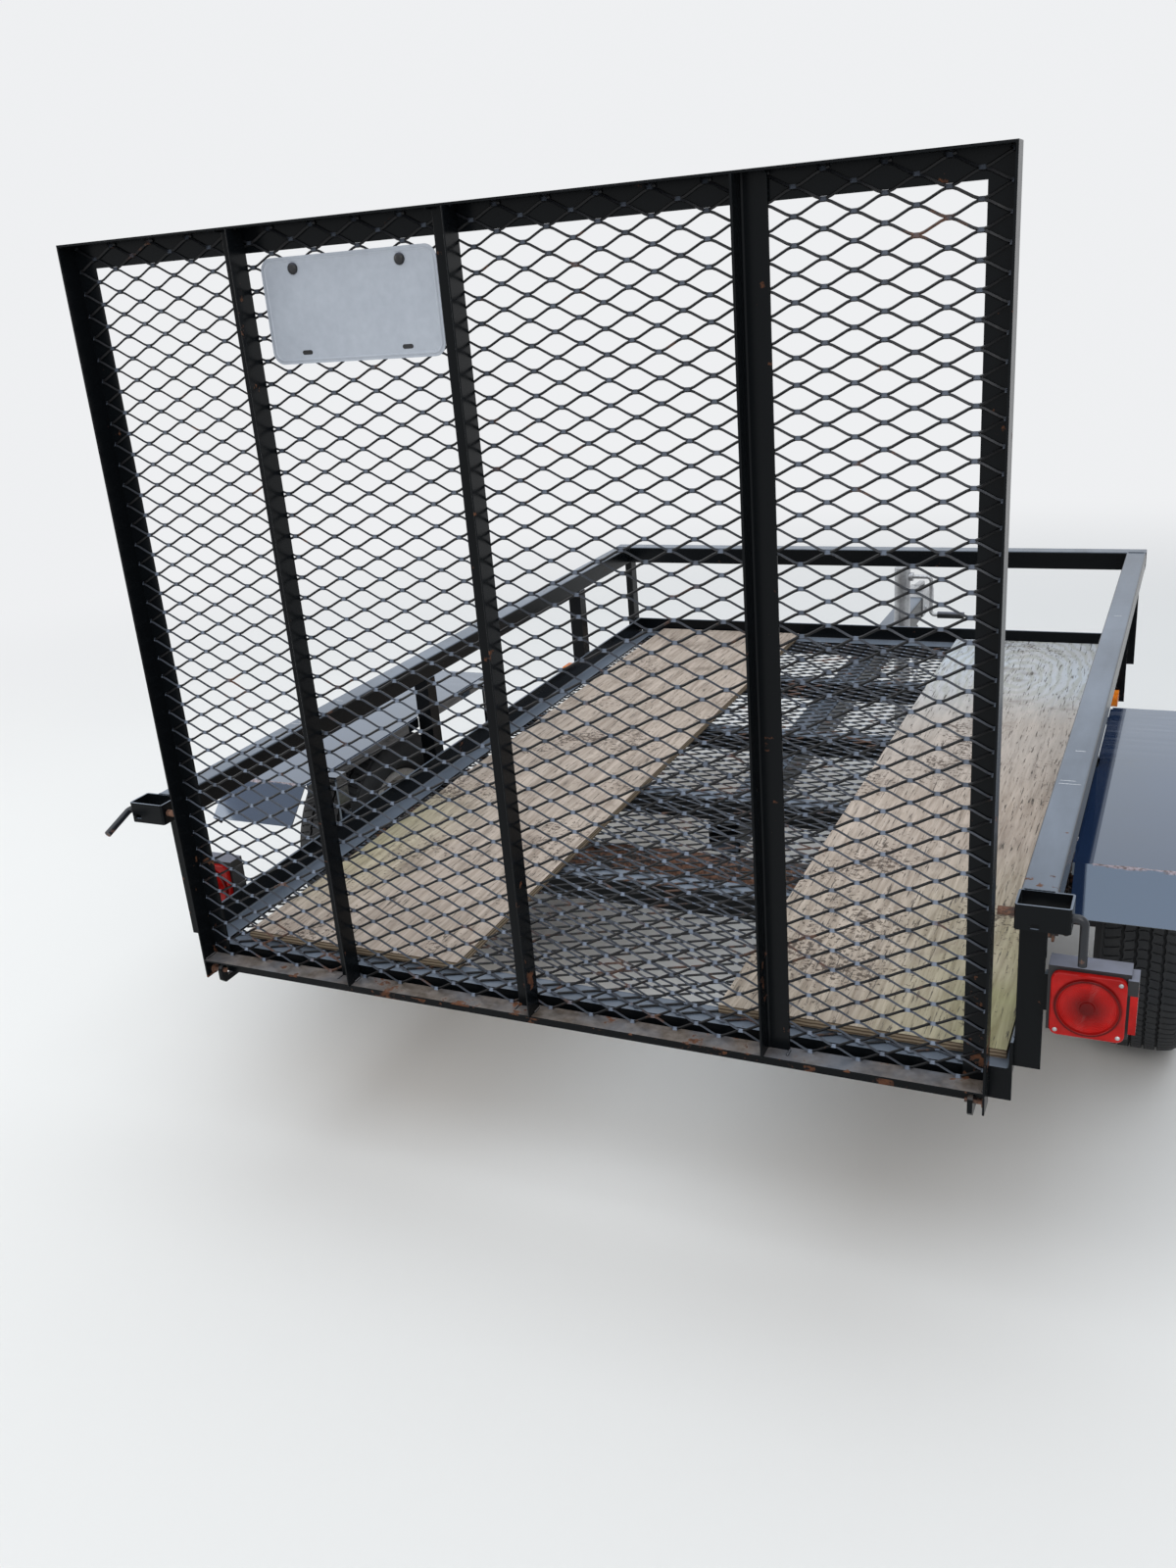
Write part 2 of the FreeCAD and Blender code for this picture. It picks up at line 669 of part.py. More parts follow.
def build_fenders():
    rear = WHEEL_Y - FENDER_HALF
    front = WHEEL_Y + FENDER_HALF
    low = FENDER_TOP - FENDER_SLOPE
    t = FENDER_SHEET
    k = t * math.tan(math.radians(22.5))
    top_line = [
        (rear - FENDER_SLOPE, low),
        (rear, FENDER_TOP),
        (front, FENDER_TOP),
        (front + FENDER_SLOPE, low),
    ]
    under_line = [
        (front + FENDER_SLOPE - t * C45, low - t * C45),
        (front - k, FENDER_TOP - t),
        (rear + k, FENDER_TOP - t),
        (rear - FENDER_SLOPE + t * C45, low - t * C45),
    ]
    points = [V(FENDER_IN, y, z) for y, z in top_line + under_line]
    roof = prism(points, RIGHT * (FENDER_OUT - FENDER_IN))
    skirt = [
        (rear - FENDER_SLOPE, low),
        (rear, FENDER_TOP),
        (front, FENDER_TOP),
        (front + FENDER_SLOPE, low),
        (front + FENDER_SLOPE - FENDER_SKIRT * 0.5, low - FENDER_SKIRT * 0.5),
        (front - FENDER_SKIRT * 0.4, FENDER_TOP - FENDER_SKIRT),
        (rear + FENDER_SKIRT * 0.4, FENDER_TOP - FENDER_SKIRT),
        (rear - FENDER_SLOPE + FENDER_SKIRT * 0.5, low - FENDER_SKIRT * 0.5),
    ]
    points = [V(FENDER_OUT - t, y, z) for y, z in skirt]
    fender = fuse([roof, prism(points, RIGHT * t)])
    save("fender_right", [fender])
    save("fender_left", [mirrored(fender)])
    # flat arms from the floor rail lip out under the sheet
    arms = []
    for y in (rear + 60, front - 100):
        z = FENDER_TOP - FENDER_SHEET
        bar = box(BED_HALF, FENDER_OUT - t, y, y + 38, z - 5, z)
        foot = box(BED_HALF, BED_HALF + 5, y, y + 38, CROSS_TOP + 5, z)
        arms.append(fuse([bar, foot]))
    save("fender_arms_right", arms)
    save("fender_arms_left", [mirrored(s) for s in arms])


# Tongue, coupler and swivel jack

def build_tongue():
    start = V(0, 2 * FLOOR_PITCH - 8, TONGUE_TOP - TONGUE / 2)
    length = TONGUE_FRONT - start.y
    bar = tube(start, RIGHT, UP, TONGUE, TONGUE, TONGUE_WALL, AHEAD * length)
    save("tongue", [bar])

    wall = 4.0
    half = TONGUE / 2 + wall
    top = TONGUE_TOP + wall
    low = TONGUE_TOP - TONGUE + 6
    sleeve_y = TONGUE_FRONT - 190
    ball = V(0, BALL_Y, BALL_Z)
    side = [
        (sleeve_y, low),
        (BALL_Y, low),
        (BALL_Y, BALL_Z + NOSE_RADIUS * 0.8),
        (TONGUE_FRONT + 4, top),
        (sleeve_y, top),
    ]
    body = prism([V(-half, y, z) for y, z in side], RIGHT * (2 * half))
    plan = [
        (-half, sleeve_y),
        (half, sleeve_y),
        (half, TONGUE_FRONT - 20),
        (NOSE_RADIUS, BALL_Y),
        (-NOSE_RADIUS, BALL_Y),
        (-half, TONGUE_FRONT - 20),
    ]
    body = body.common(prism([V(x, y, low) for x, y in plan], UP * 120))
    nose = rod(V(0, BALL_Y, low), ball, NOSE_RADIUS).fuse(Part.makeSphere(NOSE_RADIUS, ball))
    body = body.fuse(nose)
    room = box(-TONGUE / 2, TONGUE / 2, sleeve_y - 5, TONGUE_FRONT + 0.5, low - 5, TONGUE_TOP)
    socket = BALL_RADIUS + 0.5
    hollow = rod(V(0, BALL_Y, low - 5), ball, socket).fuse(Part.makeSphere(socket, ball))
    body = one(body.cut(room).cut(hollow))
    save("coupler", [body])
    handle = [
        (BALL_Y - 20, BALL_Z + NOSE_RADIUS + 2),
        (BALL_Y - 20, BALL_Z + 12),
        (BALL_Y - 30, BALL_Z + 12),
        (BALL_Y - 46, TONGUE_TOP + 8),
        (BALL_Y - 150, TONGUE_TOP + 22),
        (BALL_Y - 150, TONGUE_TOP + 30),
        (BALL_Y - 44, TONGUE_TOP + 20),
    ]
    lever = prism([V(-9, y, z) for y, z in handle], RIGHT * 18)
    lever = one(lever.cut(body))
    save("coupler_lever", [lever])

    plate = box(TONGUE / 2, TONGUE / 2 + JACK_PLATE, JACK_Y - 60, JACK_Y + 60, 288, 354)
    ring_low = rod(V(JACK_X, JACK_Y, 296), V(JACK_X, JACK_Y, 346), JACK_RADIUS + 5)
    hole = rod(V(JACK_X, JACK_Y, 290), V(JACK_X, JACK_Y, 350), JACK_RADIUS)
    bridge = box(TONGUE / 2, JACK_X, JACK_Y - 22, JACK_Y + 22, 296, 346)
    room = box(0, TONGUE / 2, JACK_Y - 90, JACK_Y + 90, 280, 360)
    mount = fuse([plate, ring_low, bridge]).cut(hole).cut(room)
    save("jack_mount", [one(mount)])
    foot_z = V(JACK_X, JACK_Y, 0)
    low = foot_z + UP * 190
    high = foot_z + UP * JACK_TOP
    shell = rod(low, high, JACK_RADIUS).cut(rod(low, high + DOWN * 4, JACK_RADIUS - 3))
    save("jack_tube", [one(shell)])
    leg = rod(foot_z + UP * 6, foot_z + UP * 420, JACK_RADIUS - 3)
    foot = Part.makeCylinder(62, 6, foot_z)
    save("jack_leg", [fuse([leg, foot])])
    exit_z = JACK_TOP - 30
    shell_x = JACK_X + JACK_RADIUS
    centre = V(JACK_X, JACK_Y, exit_z)
    start = V(shell_x + 2, JACK_Y, exit_z)
    elbow = V(shell_x + 68, JACK_Y, exit_z)
    lower = elbow + DOWN * 125
    end = lower + RIGHT * 104
    boss = rod(centre, V(shell_x + 10, JACK_Y, exit_z), 14)
    boss = one(boss.cut(rod(foot_z, high + UP, JACK_RADIUS + BORE_GAP)))
    save("jack_crank", [fuse([boss, bent_rod([start, elbow, lower, end], 6.35, 14)])])
    grip = rod(lower + RIGHT * 22, end + RIGHT * 2, 11).cut(rod(lower, end, 6.35 + BORE_GAP))
    save("jack_grip", [one(grip)])


# Safety chains hanging from plates under the tongue, each with a slip hook

def build_chains():
    half = CHAIN_WIRE / 2
    pitch = 26.5
    count = 8
    top = TONGUE_TOP - TONGUE
    chains = []
    for x in (-22.0, 22.0):
        pieces = [box(x - half, x + half, CHAIN_Y - 16, CHAIN_Y + 16, top - 24, top)]
        pieces[0] = pieces[0].cut(box(x - 5, x + 5, CHAIN_Y - 5, CHAIN_Y + 5, top - 18, top - 8))
        first = top - 31.5
        for k in range(count + 1):
            wide, along = (RIGHT, AHEAD) if k % 2 == 0 else (AHEAD, RIGHT)
            middle = V(x, CHAIN_Y, first - k * pitch) - along * half
            ring = round_block(middle, wide, UP, 22, 38, 10.9, along * CHAIN_WIRE)
            hole = round_block(middle, wide, UP, 10, 26, 4.9, along * CHAIN_WIRE)
            pieces.append(ring.cut(hole))
        centre = V(x, CHAIN_Y, first - count * pitch - 25.5)
        face = centre - AHEAD * half
        hook = rod(face, face + AHEAD * CHAIN_WIRE, 15).cut(rod(face, face + AHEAD * CHAIN_WIRE, 8.5))
        mouth = box(x, x + 16, CHAIN_Y - 8, CHAIN_Y + 8, centre.z + 1, centre.z + 9)
        pieces.append(hook.cut(mouth))
        chains.append(fuse(pieces))
    save("safety_chains", chains)


# Lamps

def tail_lamp():
    # housing, lens and side reflector of the right lamp, inner edge and lens face at the origin
    size = LAMP_SIZE
    half = size / 2
    edge = 5.0
    depth = 50.0
    step = 14.0
    far = edge + size
    body = box(0, far + 4, 14, depth, -half + 3, half + 6)
    cheek = box(far, far + step, 8, depth - 6, half - 24, half)
    lower = box(far + 4, far + step, 8, depth - 6, -half + 16, half - 24)
    body = fuse([body, cheek])
    middle = V(edge + half, 0, 0)
    lens = round_block(middle + AHEAD * 5, RIGHT, UP, size, size, 12, AHEAD * 9)
    rings = []
    # outer radius, inner radius and how far each ring stands out
    for outer, inner, proud in ((45, 41, 4), (33, 31, 2), (22, 20, 2), (11, 0, 3)):
        ring = rod(middle + AHEAD * (5 - proud), middle + AHEAD * 6, outer)
        if inner:
            ring = ring.cut(rod(middle, middle + AHEAD * 5, inner))
        rings.append(ring)
    return body, fuse([lens] + rings), lower


def build_lamps():
    shapes = tail_lamp()
    names = ("tail_lamp", "tail_lens", "side_reflector")
    shift = V(LAMP_IN, LAMP_Y, LAMP_Z)
    left_shift = V(-LEFT_LAMP_IN, LEFT_LAMP_Y, LEFT_LAMP_Z)
    for name, shape in zip(names, shapes):
        right = shape.copy()
        right.translate(shift)
        left = mirrored(shape)
        left.translate(left_shift)
        save(name + "_right", [right])
        save(name + "_left", [left])
    # right lamp on the post, left lamp straight on the floor rail's lip
    y = LATCH_Y1 + 6
    reach = LAMP_IN
    right = box(BED_HALF + POST_LEG, reach, y, y + 14, LAMP_Z - 30, LAMP_Z + 30)
    y = LEFT_LAMP_Y + 20
    left = box(-LEFT_LAMP_IN, -BED_HALF, y, y + 24, CROSS_TOP + 8, CROSS_TOP + 46)
    save("lamp_brackets", [right, left])
    # amber marker on the outside of the floor rail lip
    y0 = MARKER_Y - 35
    y1 = MARKER_Y + 35
    base = box(BED_HALF, BED_HALF + 10, y0, y1, CROSS_TOP + 7, CROSS_TOP + 45)
    middle = V(BED_HALF + 10, MARKER_Y, CROSS_TOP + 26)
    lens = round_block(middle, AHEAD, UP, 62, 32, 12, RIGHT * 18)
    save("marker_base_right", [base])
    save("marker_base_left", [mirrored(base)])
    save("marker_lens_right", [lens])
    save("marker_lens_left", [mirrored(lens)])


os.makedirs("parts", exist_ok=True)
build_frame()
build_boards()
build_posts()
build_top_rails()
build_latches()
build_gate()
build_wheels()
build_axle()
build_fenders()
build_tongue()
build_chains()
build_lamps()
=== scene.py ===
import json
import math
import random

import bpy
from mathutils import Matrix, Vector


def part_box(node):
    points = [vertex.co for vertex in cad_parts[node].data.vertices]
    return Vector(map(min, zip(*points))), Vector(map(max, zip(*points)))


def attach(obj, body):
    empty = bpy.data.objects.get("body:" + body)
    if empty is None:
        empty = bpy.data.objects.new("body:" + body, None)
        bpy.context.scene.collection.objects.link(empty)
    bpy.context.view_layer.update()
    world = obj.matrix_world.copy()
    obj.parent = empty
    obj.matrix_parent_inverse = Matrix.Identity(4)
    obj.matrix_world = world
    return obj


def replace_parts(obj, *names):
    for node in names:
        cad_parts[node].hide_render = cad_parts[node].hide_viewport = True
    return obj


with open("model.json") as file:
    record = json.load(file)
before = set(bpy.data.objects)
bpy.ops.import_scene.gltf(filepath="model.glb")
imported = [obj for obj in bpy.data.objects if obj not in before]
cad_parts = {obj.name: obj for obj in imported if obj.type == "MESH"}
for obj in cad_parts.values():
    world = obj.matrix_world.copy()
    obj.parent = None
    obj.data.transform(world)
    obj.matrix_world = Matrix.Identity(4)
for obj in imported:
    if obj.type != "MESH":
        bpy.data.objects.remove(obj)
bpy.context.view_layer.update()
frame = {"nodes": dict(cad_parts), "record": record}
scene = bpy.context.scene
nodes = frame["nodes"]
chance = random.Random(7)

X = Vector((1, 0, 0))
Y = Vector((0, 1, 0))
Z = Vector((0, 0, 1))

# Places that materials and small pieces share, and the length of a fender's sloped ends
GATE_LOW, GATE_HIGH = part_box("gate_frame")
FENDER_LOW, FENDER_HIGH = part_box("fender_right")
FENDER_SLOPE = 0.071
BOARD_LOW, BOARD_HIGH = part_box("deck_board_right")
LEFT_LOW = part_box("deck_board_left")[0]
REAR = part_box("rail_right")[0].y

# Angle iron of the posts and the gate, and the crossmembers under the floor
LEG = 0.0381
WALL = 0.0032
CROSS_LOW, CROSS_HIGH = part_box("floor_crossmembers")
CROSS_WIDTH = 0.0508
CROSS_COUNT = 4
CROSS_PITCH = (CROSS_HIGH.y - CROSS_LOW.y - CROSS_WIDTH) / (CROSS_COUNT - 1)

# Expanded metal, long way across the trailer: knuckles, strands and how far each leans
LONG = 0.0762
SHORT = 0.03387
BOND = 0.009
BOND_LEAN = -0.5
STRAND = 0.003
STRAND_DEPTH = 0.003
STRAND_LEAN = 0.45


# Helpers that build one material from nodes

class Surface:
    # one material; its maths and mixing return an output that can be fed onward
    def __init__(self, name):
        self.material = bpy.data.materials.new(name)
        self.material.use_nodes = True
        self.tree = self.material.node_tree
        self.shader = self.tree.nodes["Principled BSDF"]
        self.place = self.add("ShaderNodeTexCoord").outputs["Object"]

    def add(self, kind, **settings):
        node = self.tree.nodes.new(kind)
        for key, value in settings.items():
            setattr(node, key, value)
        return node

    def feed(self, socket, value):
        if isinstance(value, bpy.types.NodeSocket):
            self.tree.links.new(value, socket)
        else:
            socket.default_value = value

    def colour(self, rgb):
        return (rgb[0], rgb[1], rgb[2], 1.0)

    def stretched(self, scale, shift=(0, 0, 0)):
        node = self.add("ShaderNodeMapping")
        self.feed(node.inputs["Vector"], self.place)
        node.inputs["Location"].default_value = shift
        node.inputs["Scale"].default_value = scale
        return node.outputs["Vector"]

    def noise(self, scale, detail=4.0, roughness=0.55, stretch=None, distortion=0.0):
        node = self.add("ShaderNodeTexNoise")
        vector = self.stretched(stretch) if stretch else self.place
        self.feed(node.inputs["Vector"], vector)
        node.inputs["Scale"].default_value = scale
        node.inputs["Detail"].default_value = detail
        node.inputs["Roughness"].default_value = roughness
        node.inputs["Distortion"].default_value = distortion
        return node.outputs["Fac"]

    def span(self, value, low, high, to_low=0.0, to_high=1.0):
        node = self.add("ShaderNodeMapRange", clamp=True)
        self.feed(node.inputs["Value"], value)
        numbers = {"From Min": low, "From Max": high, "To Min": to_low, "To Max": to_high}
        for key, number in numbers.items():
            node.inputs[key].default_value = number
        return node.outputs["Result"]

    def maths(self, operation, a, b=0.0):
        node = self.add("ShaderNodeMath", operation=operation)
        self.feed(node.inputs[0], a)
        self.feed(node.inputs[1], b)
        return node.outputs[0]

    def product(self, *values):
        result = values[0]
        for value in values[1:]:
            result = self.maths("MULTIPLY", result, value)
        return result

    def blend(self, *pairs):
        # weighted sum of (value, weight)
        result = None
        for value, weight in pairs:
            term = self.maths("MULTIPLY", value, weight)
            result = term if result is None else self.maths("ADD", result, term)
        return result

    def mix(self, share, a, b):
        node = self.add("ShaderNodeMix", data_type="RGBA")
        self.feed(node.inputs[0], share)
        for socket, value in ((node.inputs[6], a), (node.inputs[7], b)):
            self.feed(socket, value if isinstance(value, bpy.types.NodeSocket) else self.colour(value))
        return node.outputs[2]

    def axis(self, name, source="position"):
        node = self.add("ShaderNodeSeparateXYZ")
        vector = self.place if source == "position" else self.add("ShaderNodeNewGeometry").outputs["Normal"]
        self.feed(node.inputs[0], vector)
        return node.outputs[name]

    def distance(self, *offsets):
        # length of a vector given by its parts
        squares = [(self.maths("MULTIPLY", offset, offset), 1.0) for offset in offsets]
        return self.maths("SQRT", self.blend(*squares))

    def near(self, value, centre, reach):
        # 1 at the centre, falling to 0 at the reach
        away = self.maths("ABSOLUTE", self.maths("SUBTRACT", value, centre))
        return self.span(away, reach, 0.0)

    def bump(self, height, strength, distance):
        node = self.add("ShaderNodeBump")
        node.inputs["Strength"].default_value = strength
        node.inputs["Distance"].default_value = distance
        self.feed(node.inputs["Height"], height)
        self.feed(self.shader.inputs["Normal"], node.outputs["Normal"])

    def set(self, **inputs):
        # keywords are the shader's input names in small letters
        for key, value in inputs.items():
            label = key.replace("_", " ").title().replace("Ior", "IOR")
            socket = self.shader.inputs[label]
            if key == "base_color" and not isinstance(value, bpy.types.NodeSocket):
                value = self.colour(value)
            self.feed(socket, value)
        return self.material


RUST = (0.17, 0.07, 0.035)


def black_paint():
    # near black enamel, grey blue where it faces the sky, partly chalked paint and partly a painted sky
    # reflection, with dirt and rust low on the gate
    s = Surface("black_paint")
    broad = s.noise(2.6, 5.0)
    fine = s.noise(52.0, 4.0)
    streak = s.noise(5.0, 5.0, 0.6, (3.0, 0.5, 3.0))
    up = s.span(s.axis("Z", "normal"), 0.45, 0.98)
    # faces that point up turn grey blue: part real chalking, part a painted reflection of the sky
    chalk_and_sky_sheen = s.product(up, s.span(s.blend((broad, 0.5), (streak, 0.5)), 0.3, 0.68, 0.5, 1.0))
    colour = s.mix(chalk_and_sky_sheen, (0.004, 0.005, 0.006), (0.19, 0.222, 0.27))
    height = s.axis("Z")
    behind = s.span(s.axis("Y"), GATE_HIGH.y + 0.002, GATE_HIGH.y)
    low = s.product(behind, s.span(height, 0.62, 0.38))
    drift = s.span(s.noise(11.0, 5.0), 0.3, 0.62, 0.35, 1.0)
    ledge = s.product(behind, up, s.span(height, 0.5, 0.45), drift)
    grit = s.mix(s.span(fine, 0.35, 0.65), (0.09, 0.07, 0.054), (0.2, 0.165, 0.14))
    colour = s.mix(ledge, colour, grit)
    spots = s.blend((s.noise(13.0, 6.0, 0.64), 0.7), (fine, 0.3), (low, 0.085))
    chipped = s.span(spots, 0.655, 0.69)
    mottle = s.span(s.noise(120.0, 3.0), 0.3, 0.7)
    colour = s.mix(chipped, colour, s.mix(mottle, (0.07, 0.032, 0.02), RUST))
    dull = s.span(s.maths("MAXIMUM", chalk_and_sky_sheen, ledge), 0.0, 1.0, 0.2, 0.36)
    rough = s.blend((dull, 1.0), (chipped, 0.4), (fine, 0.08))
    s.bump(s.blend((fine, 0.35), (chipped, -0.5), (broad, 0.8)), 0.12, 0.0006)
    s.set(base_color=colour, roughness=rough, specular_ior_level=0.11)
    return s.set(coat_weight=s.product(chalk_and_sky_sheen, 0.35), coat_roughness=0.2)


def mesh_paint():
    # paint on the cut strands, with a painted grey blue highlight on the knuckles and, low on the gate, on
    # strands that face up
    s = Surface("mesh_paint")
    fine = s.noise(60.0, 4.0)
    up = s.span(s.axis("Z", "normal"), 0.12, 0.5)
    # knuckles lie at whole multiples of half the long pitch
    across = s.maths("PINGPONG", s.axis("X"), LONG / 4)
    knuckle = s.span(across, 0.0055, 0.0025, 0.0, 1.0)
    lower = s.span(s.axis("Z"), 1.45, 0.75, 0.1, 1.0)
    bright = s.product(knuckle, s.span(lower, 0.0, 1.0, 0.35, 1.0))
    place = s.maths("MAXIMUM", bright, s.product(lower, 0.42))
    # the painted highlight goes only on faces that lean back on the upright gate, so one way of the strands
    # stays dark
    leaning = s.span(s.axis("Y", "normal"), -0.45, -0.7)
    uneven = s.span(s.noise(17.0, 4.0), 0.3, 0.6, 0.4, 1.0)
    wear_and_highlight = s.product(up, leaning, place, uneven)
    # grey blue painted highlight over the near black paint
    colour = s.mix(wear_and_highlight, (0.006, 0.006, 0.007), (0.21, 0.245, 0.31))
    low = s.span(s.axis("Z"), 0.62, 0.4)
    spots = s.blend((s.noise(10.0, 6.0, 0.62), 0.7), (fine, 0.3), (low, 0.05))
    chipped = s.span(spots, 0.6, 0.66)
    colour = s.mix(s.product(chipped, 0.8), colour, (0.12, 0.06, 0.038))
    s.bump(fine, 0.2, 0.0004)
    rough = s.span(fine, 0.3, 0.7, 0.3, 0.48)
    return s.set(base_color=colour, roughness=rough, specular_ior_level=0.22)


def fender_paint():
    # glossy black sheet with a painted blue sky reflection on top, a scraped rear fold, streaks towards the
    # front and a ring stain
    fold_reach = 0.012
    bare_from, bare_to = FENDER_LOW.x + 0.012, FENDER_LOW.x + 0.03
    stain_x, stain_y = FENDER_LOW.x + 0.0755, 0.5
    stain_radius, stain_width = 0.021, 0.006
    s = Surface("fender_paint")
    y = s.axis("Y")
    x = s.maths("ABSOLUTE", s.axis("X"))
    fine = s.noise(70.0, 3.0)
    up = s.span(s.axis("Z", "normal"), 0.25, 0.85)
    fold = FENDER_LOW.y + FENDER_SLOPE
    front = FENDER_HIGH.y - FENDER_SLOPE
    lines = s.noise(9.0, 5.0, 0.6, (0.35, 9.0, 1.0))
    streak = s.product(s.span(y, front - 0.42, front - 0.05), s.span(lines, 0.42, 0.62))
    # painted blue reflection of the sky on faces that point up
    painted_sky_reflection = s.product(up, s.span(s.noise(3.0, 3.0), 0.25, 0.7, 0.7, 1.0))
    colour = s.mix(painted_sky_reflection, (0.004, 0.005, 0.007), (0.021, 0.038, 0.082))
    colour = s.mix(s.product(streak, up, 0.5), colour, (0.2, 0.19, 0.22))
    ragged = s.noise(38.0, 5.0, 0.7, (0.45, 1.0, 1.0))
    scraped = s.product(s.near(y, fold, fold_reach), up, s.span(x, bare_from, bare_to))
    scraped = s.span(s.blend((scraped, 0.6), (ragged, 0.62)), 0.62, 0.7)
    raw = s.mix(s.span(s.noise(160.0, 3.0), 0.4, 0.6), (0.1, 0.05, 0.035), (0.34, 0.27, 0.29))
    colour = s.mix(scraped, colour, raw)
    away = s.distance(s.maths("SUBTRACT", x, stain_x), s.maths("SUBTRACT", y, fold + stain_y))
    broken = s.span(s.noise(40.0), 0.35, 0.6)
    ring = s.product(s.near(away, stain_radius, stain_width), broken, up, 0.55)
    colour = s.mix(ring, colour, (0.035, 0.035, 0.045))
    dull = s.maths("MAXIMUM", scraped, s.maths("MULTIPLY", streak, 0.4))
    rough = s.blend((fine, 0.05), (dull, 0.4), (s.noise(6.0), 0.05))
    s.bump(s.blend((s.noise(2.2, 2.0), 1.0), (fine, 0.02)), 0.1, 0.003)
    s.set(base_color=colour, roughness=rough)
    s.set(specular_ior_level=0.8, specular_tint=(0.72, 0.86, 1.0, 1.0))
    clean = s.maths("SUBTRACT", 1.0, scraped)
    return s.set(coat_weight=clean, coat_tint=(0.8, 0.9, 1.0, 1.0), coat_roughness=0.03)


def wood():
    # rotary cut plywood left outside: tan grain, green towards the rear, pale with a whorl at the front right
    whorl_x, whorl_back, whorl_squash = 0.52, 0.36, 0.42
    s = Surface("weathered_plywood")
    grain = s.noise(5.0, 7.0, 0.62, (14.0, 0.9, 14.0), 0.6)
    fine = s.noise(30.0, 5.0, 0.6, (9.0, 0.5, 9.0))
    tone = s.mix(s.span(grain, 0.3, 0.66), (0.225, 0.168, 0.125), (0.56, 0.455, 0.37))
    tone = s.mix(s.span(fine, 0.35, 0.75, 0.0, 0.5), tone, (0.565, 0.485, 0.415))
    front = BOARD_HIGH.y
    rear = BOARD_LOW.y
    right = s.span(s.axis("X"), 0.0, 0.25)
    wear_and_highlight = s.span(s.noise(2.6, 4.0), 0.3, 0.55, 0.55, 0.95)
    pale = s.product(s.span(s.axis("Y"), front - 1.3, front - 0.35), right, wear_and_highlight)
    ahead = s.span(s.axis("Y"), front - 0.75, front - 0.45)
    tone = s.mix(pale, tone, s.mix(ahead, (0.47, 0.44, 0.41), (0.53, 0.565, 0.6)))
    whorl = s.add("ShaderNodeTexWave", wave_type="RINGS", rings_direction="Z")
    centre = (-whorl_x, -whorl_squash * (front - whorl_back), 0)
    s.feed(whorl.inputs["Vector"], s.stretched((1.0, whorl_squash, 1.0), centre))
    whorl.inputs["Scale"].default_value = 13.0
    whorl.inputs["Distortion"].default_value = 5.0
    whorl.inputs["Detail Scale"].default_value = 2.0
    swirl = s.product(ahead, right, s.span(whorl.outputs["Fac"], 0.35, 0.8))
    tone = s.mix(s.product(swirl, 0.5), tone, (0.38, 0.375, 0.31))
    damp = s.span(s.noise(3.4, 5.0), 0.36, 0.6, 0.5, 1.0)
    outer = s.span(s.axis("X"), 0.5, 0.7, 0.12, 1.0)
    moss = s.product(outer, right, s.span(s.axis("Y"), rear + 0.75, rear + 0.15), damp)
    beside = s.span(s.axis("X"), LEFT_LOW.x + 0.2, LEFT_LOW.x + 0.02)
    patch = s.product(beside, s.near(s.axis("Y"), rear + 0.45, 0.36), s.span(damp, 0.5, 1.0, 0.6, 1.0))
    moss = s.maths("MAXIMUM", moss, patch)
    green = s.mix(s.span(grain, 0.35, 0.65), (0.23, 0.215, 0.085), (0.42, 0.4, 0.19))
    tone = s.mix(s.product(moss, 0.85), tone, green)
    stain = s.span(s.noise(7.0, 6.0, 0.65), 0.56, 0.7, 0.0, 0.55)
    tone = s.mix(stain, tone, (0.14, 0.105, 0.08))
    crumbs = s.blend((s.noise(4.0, 3.0), 0.5), (s.noise(95.0, 3.0, 0.7), 0.5))
    litter = s.span(crumbs, 0.565, 0.6, 0.0, 0.8)
    tone = s.mix(litter, tone, (0.06, 0.04, 0.03))
    crack = s.span(s.noise(20.0, 5.0, 0.65, (13.0, 0.8, 13.0)), 0.59, 0.63, 0.0, 0.85)
    tone = s.mix(crack, tone, (0.06, 0.05, 0.042))
    layers = s.add("ShaderNodeTexWave", wave_type="BANDS", bands_direction="Z")
    s.feed(layers.inputs["Vector"], s.place)
    layers.inputs["Scale"].default_value = 52.0
    layers.inputs["Distortion"].default_value = 1.5
    side = s.span(s.maths("ABSOLUTE", s.axis("Z", "normal")), 0.7, 0.2)
    edge = s.mix(layers.outputs["Fac"], (0.1, 0.07, 0.045), (0.36, 0.28, 0.19))
    tone = s.mix(side, tone, edge)
    s.bump(s.blend((grain, 1.0), (fine, 0.5), (crack, -0.7)), 0.55, 0.0014)
    return s.set(base_color=tone, roughness=0.82, specular_ior_level=0.25)


def bare(name, light, dark, scale, metallic, low, high, bumpy):
    # one plain stuff in two blended shades
    s = Surface(name)
    patch = s.noise(scale, 6.0, 0.62)
    speck = s.noise(scale * 9, 3.0)
    blend = s.span(s.blend((patch, 0.65), (speck, 0.35)), 0.36, 0.64)
    s.bump(speck, bumpy, 0.0005)
    rough = s.span(patch, 0.35, 0.65, low, high)
    return s.set(base_color=s.mix(blend, dark, light), metallic=metallic, roughness=rough)


def rusty_steel():
    # rods and springs: old black paint with brown rust breaking through, more of it inside the rails
    s = Surface("bare_steel")
    patch = s.noise(14.0, 6.0, 0.62)
    speck = s.noise(120.0, 3.0)
    inner = s.span(s.maths("ABSOLUTE", s.axis("X")), 0.79, 0.765)
    wear_and_highlight = s.span(s.blend((patch, 0.7), (speck, 0.3), (inner, 0.14)), 0.56, 0.66)
    rust = s.mix(s.span(speck, 0.35, 0.65), (0.085, 0.04, 0.026), (0.24, 0.12, 0.075))
    s.bump(speck, 0.3, 0.0005)
    colour = s.mix(wear_and_highlight, (0.012, 0.014, 0.018), rust)
    rough = s.span(wear_and_highlight, 0.0, 1.0, 0.3, 0.8)
    return s.set(base_color=colour, roughness=rough, specular_ior_level=0.4)


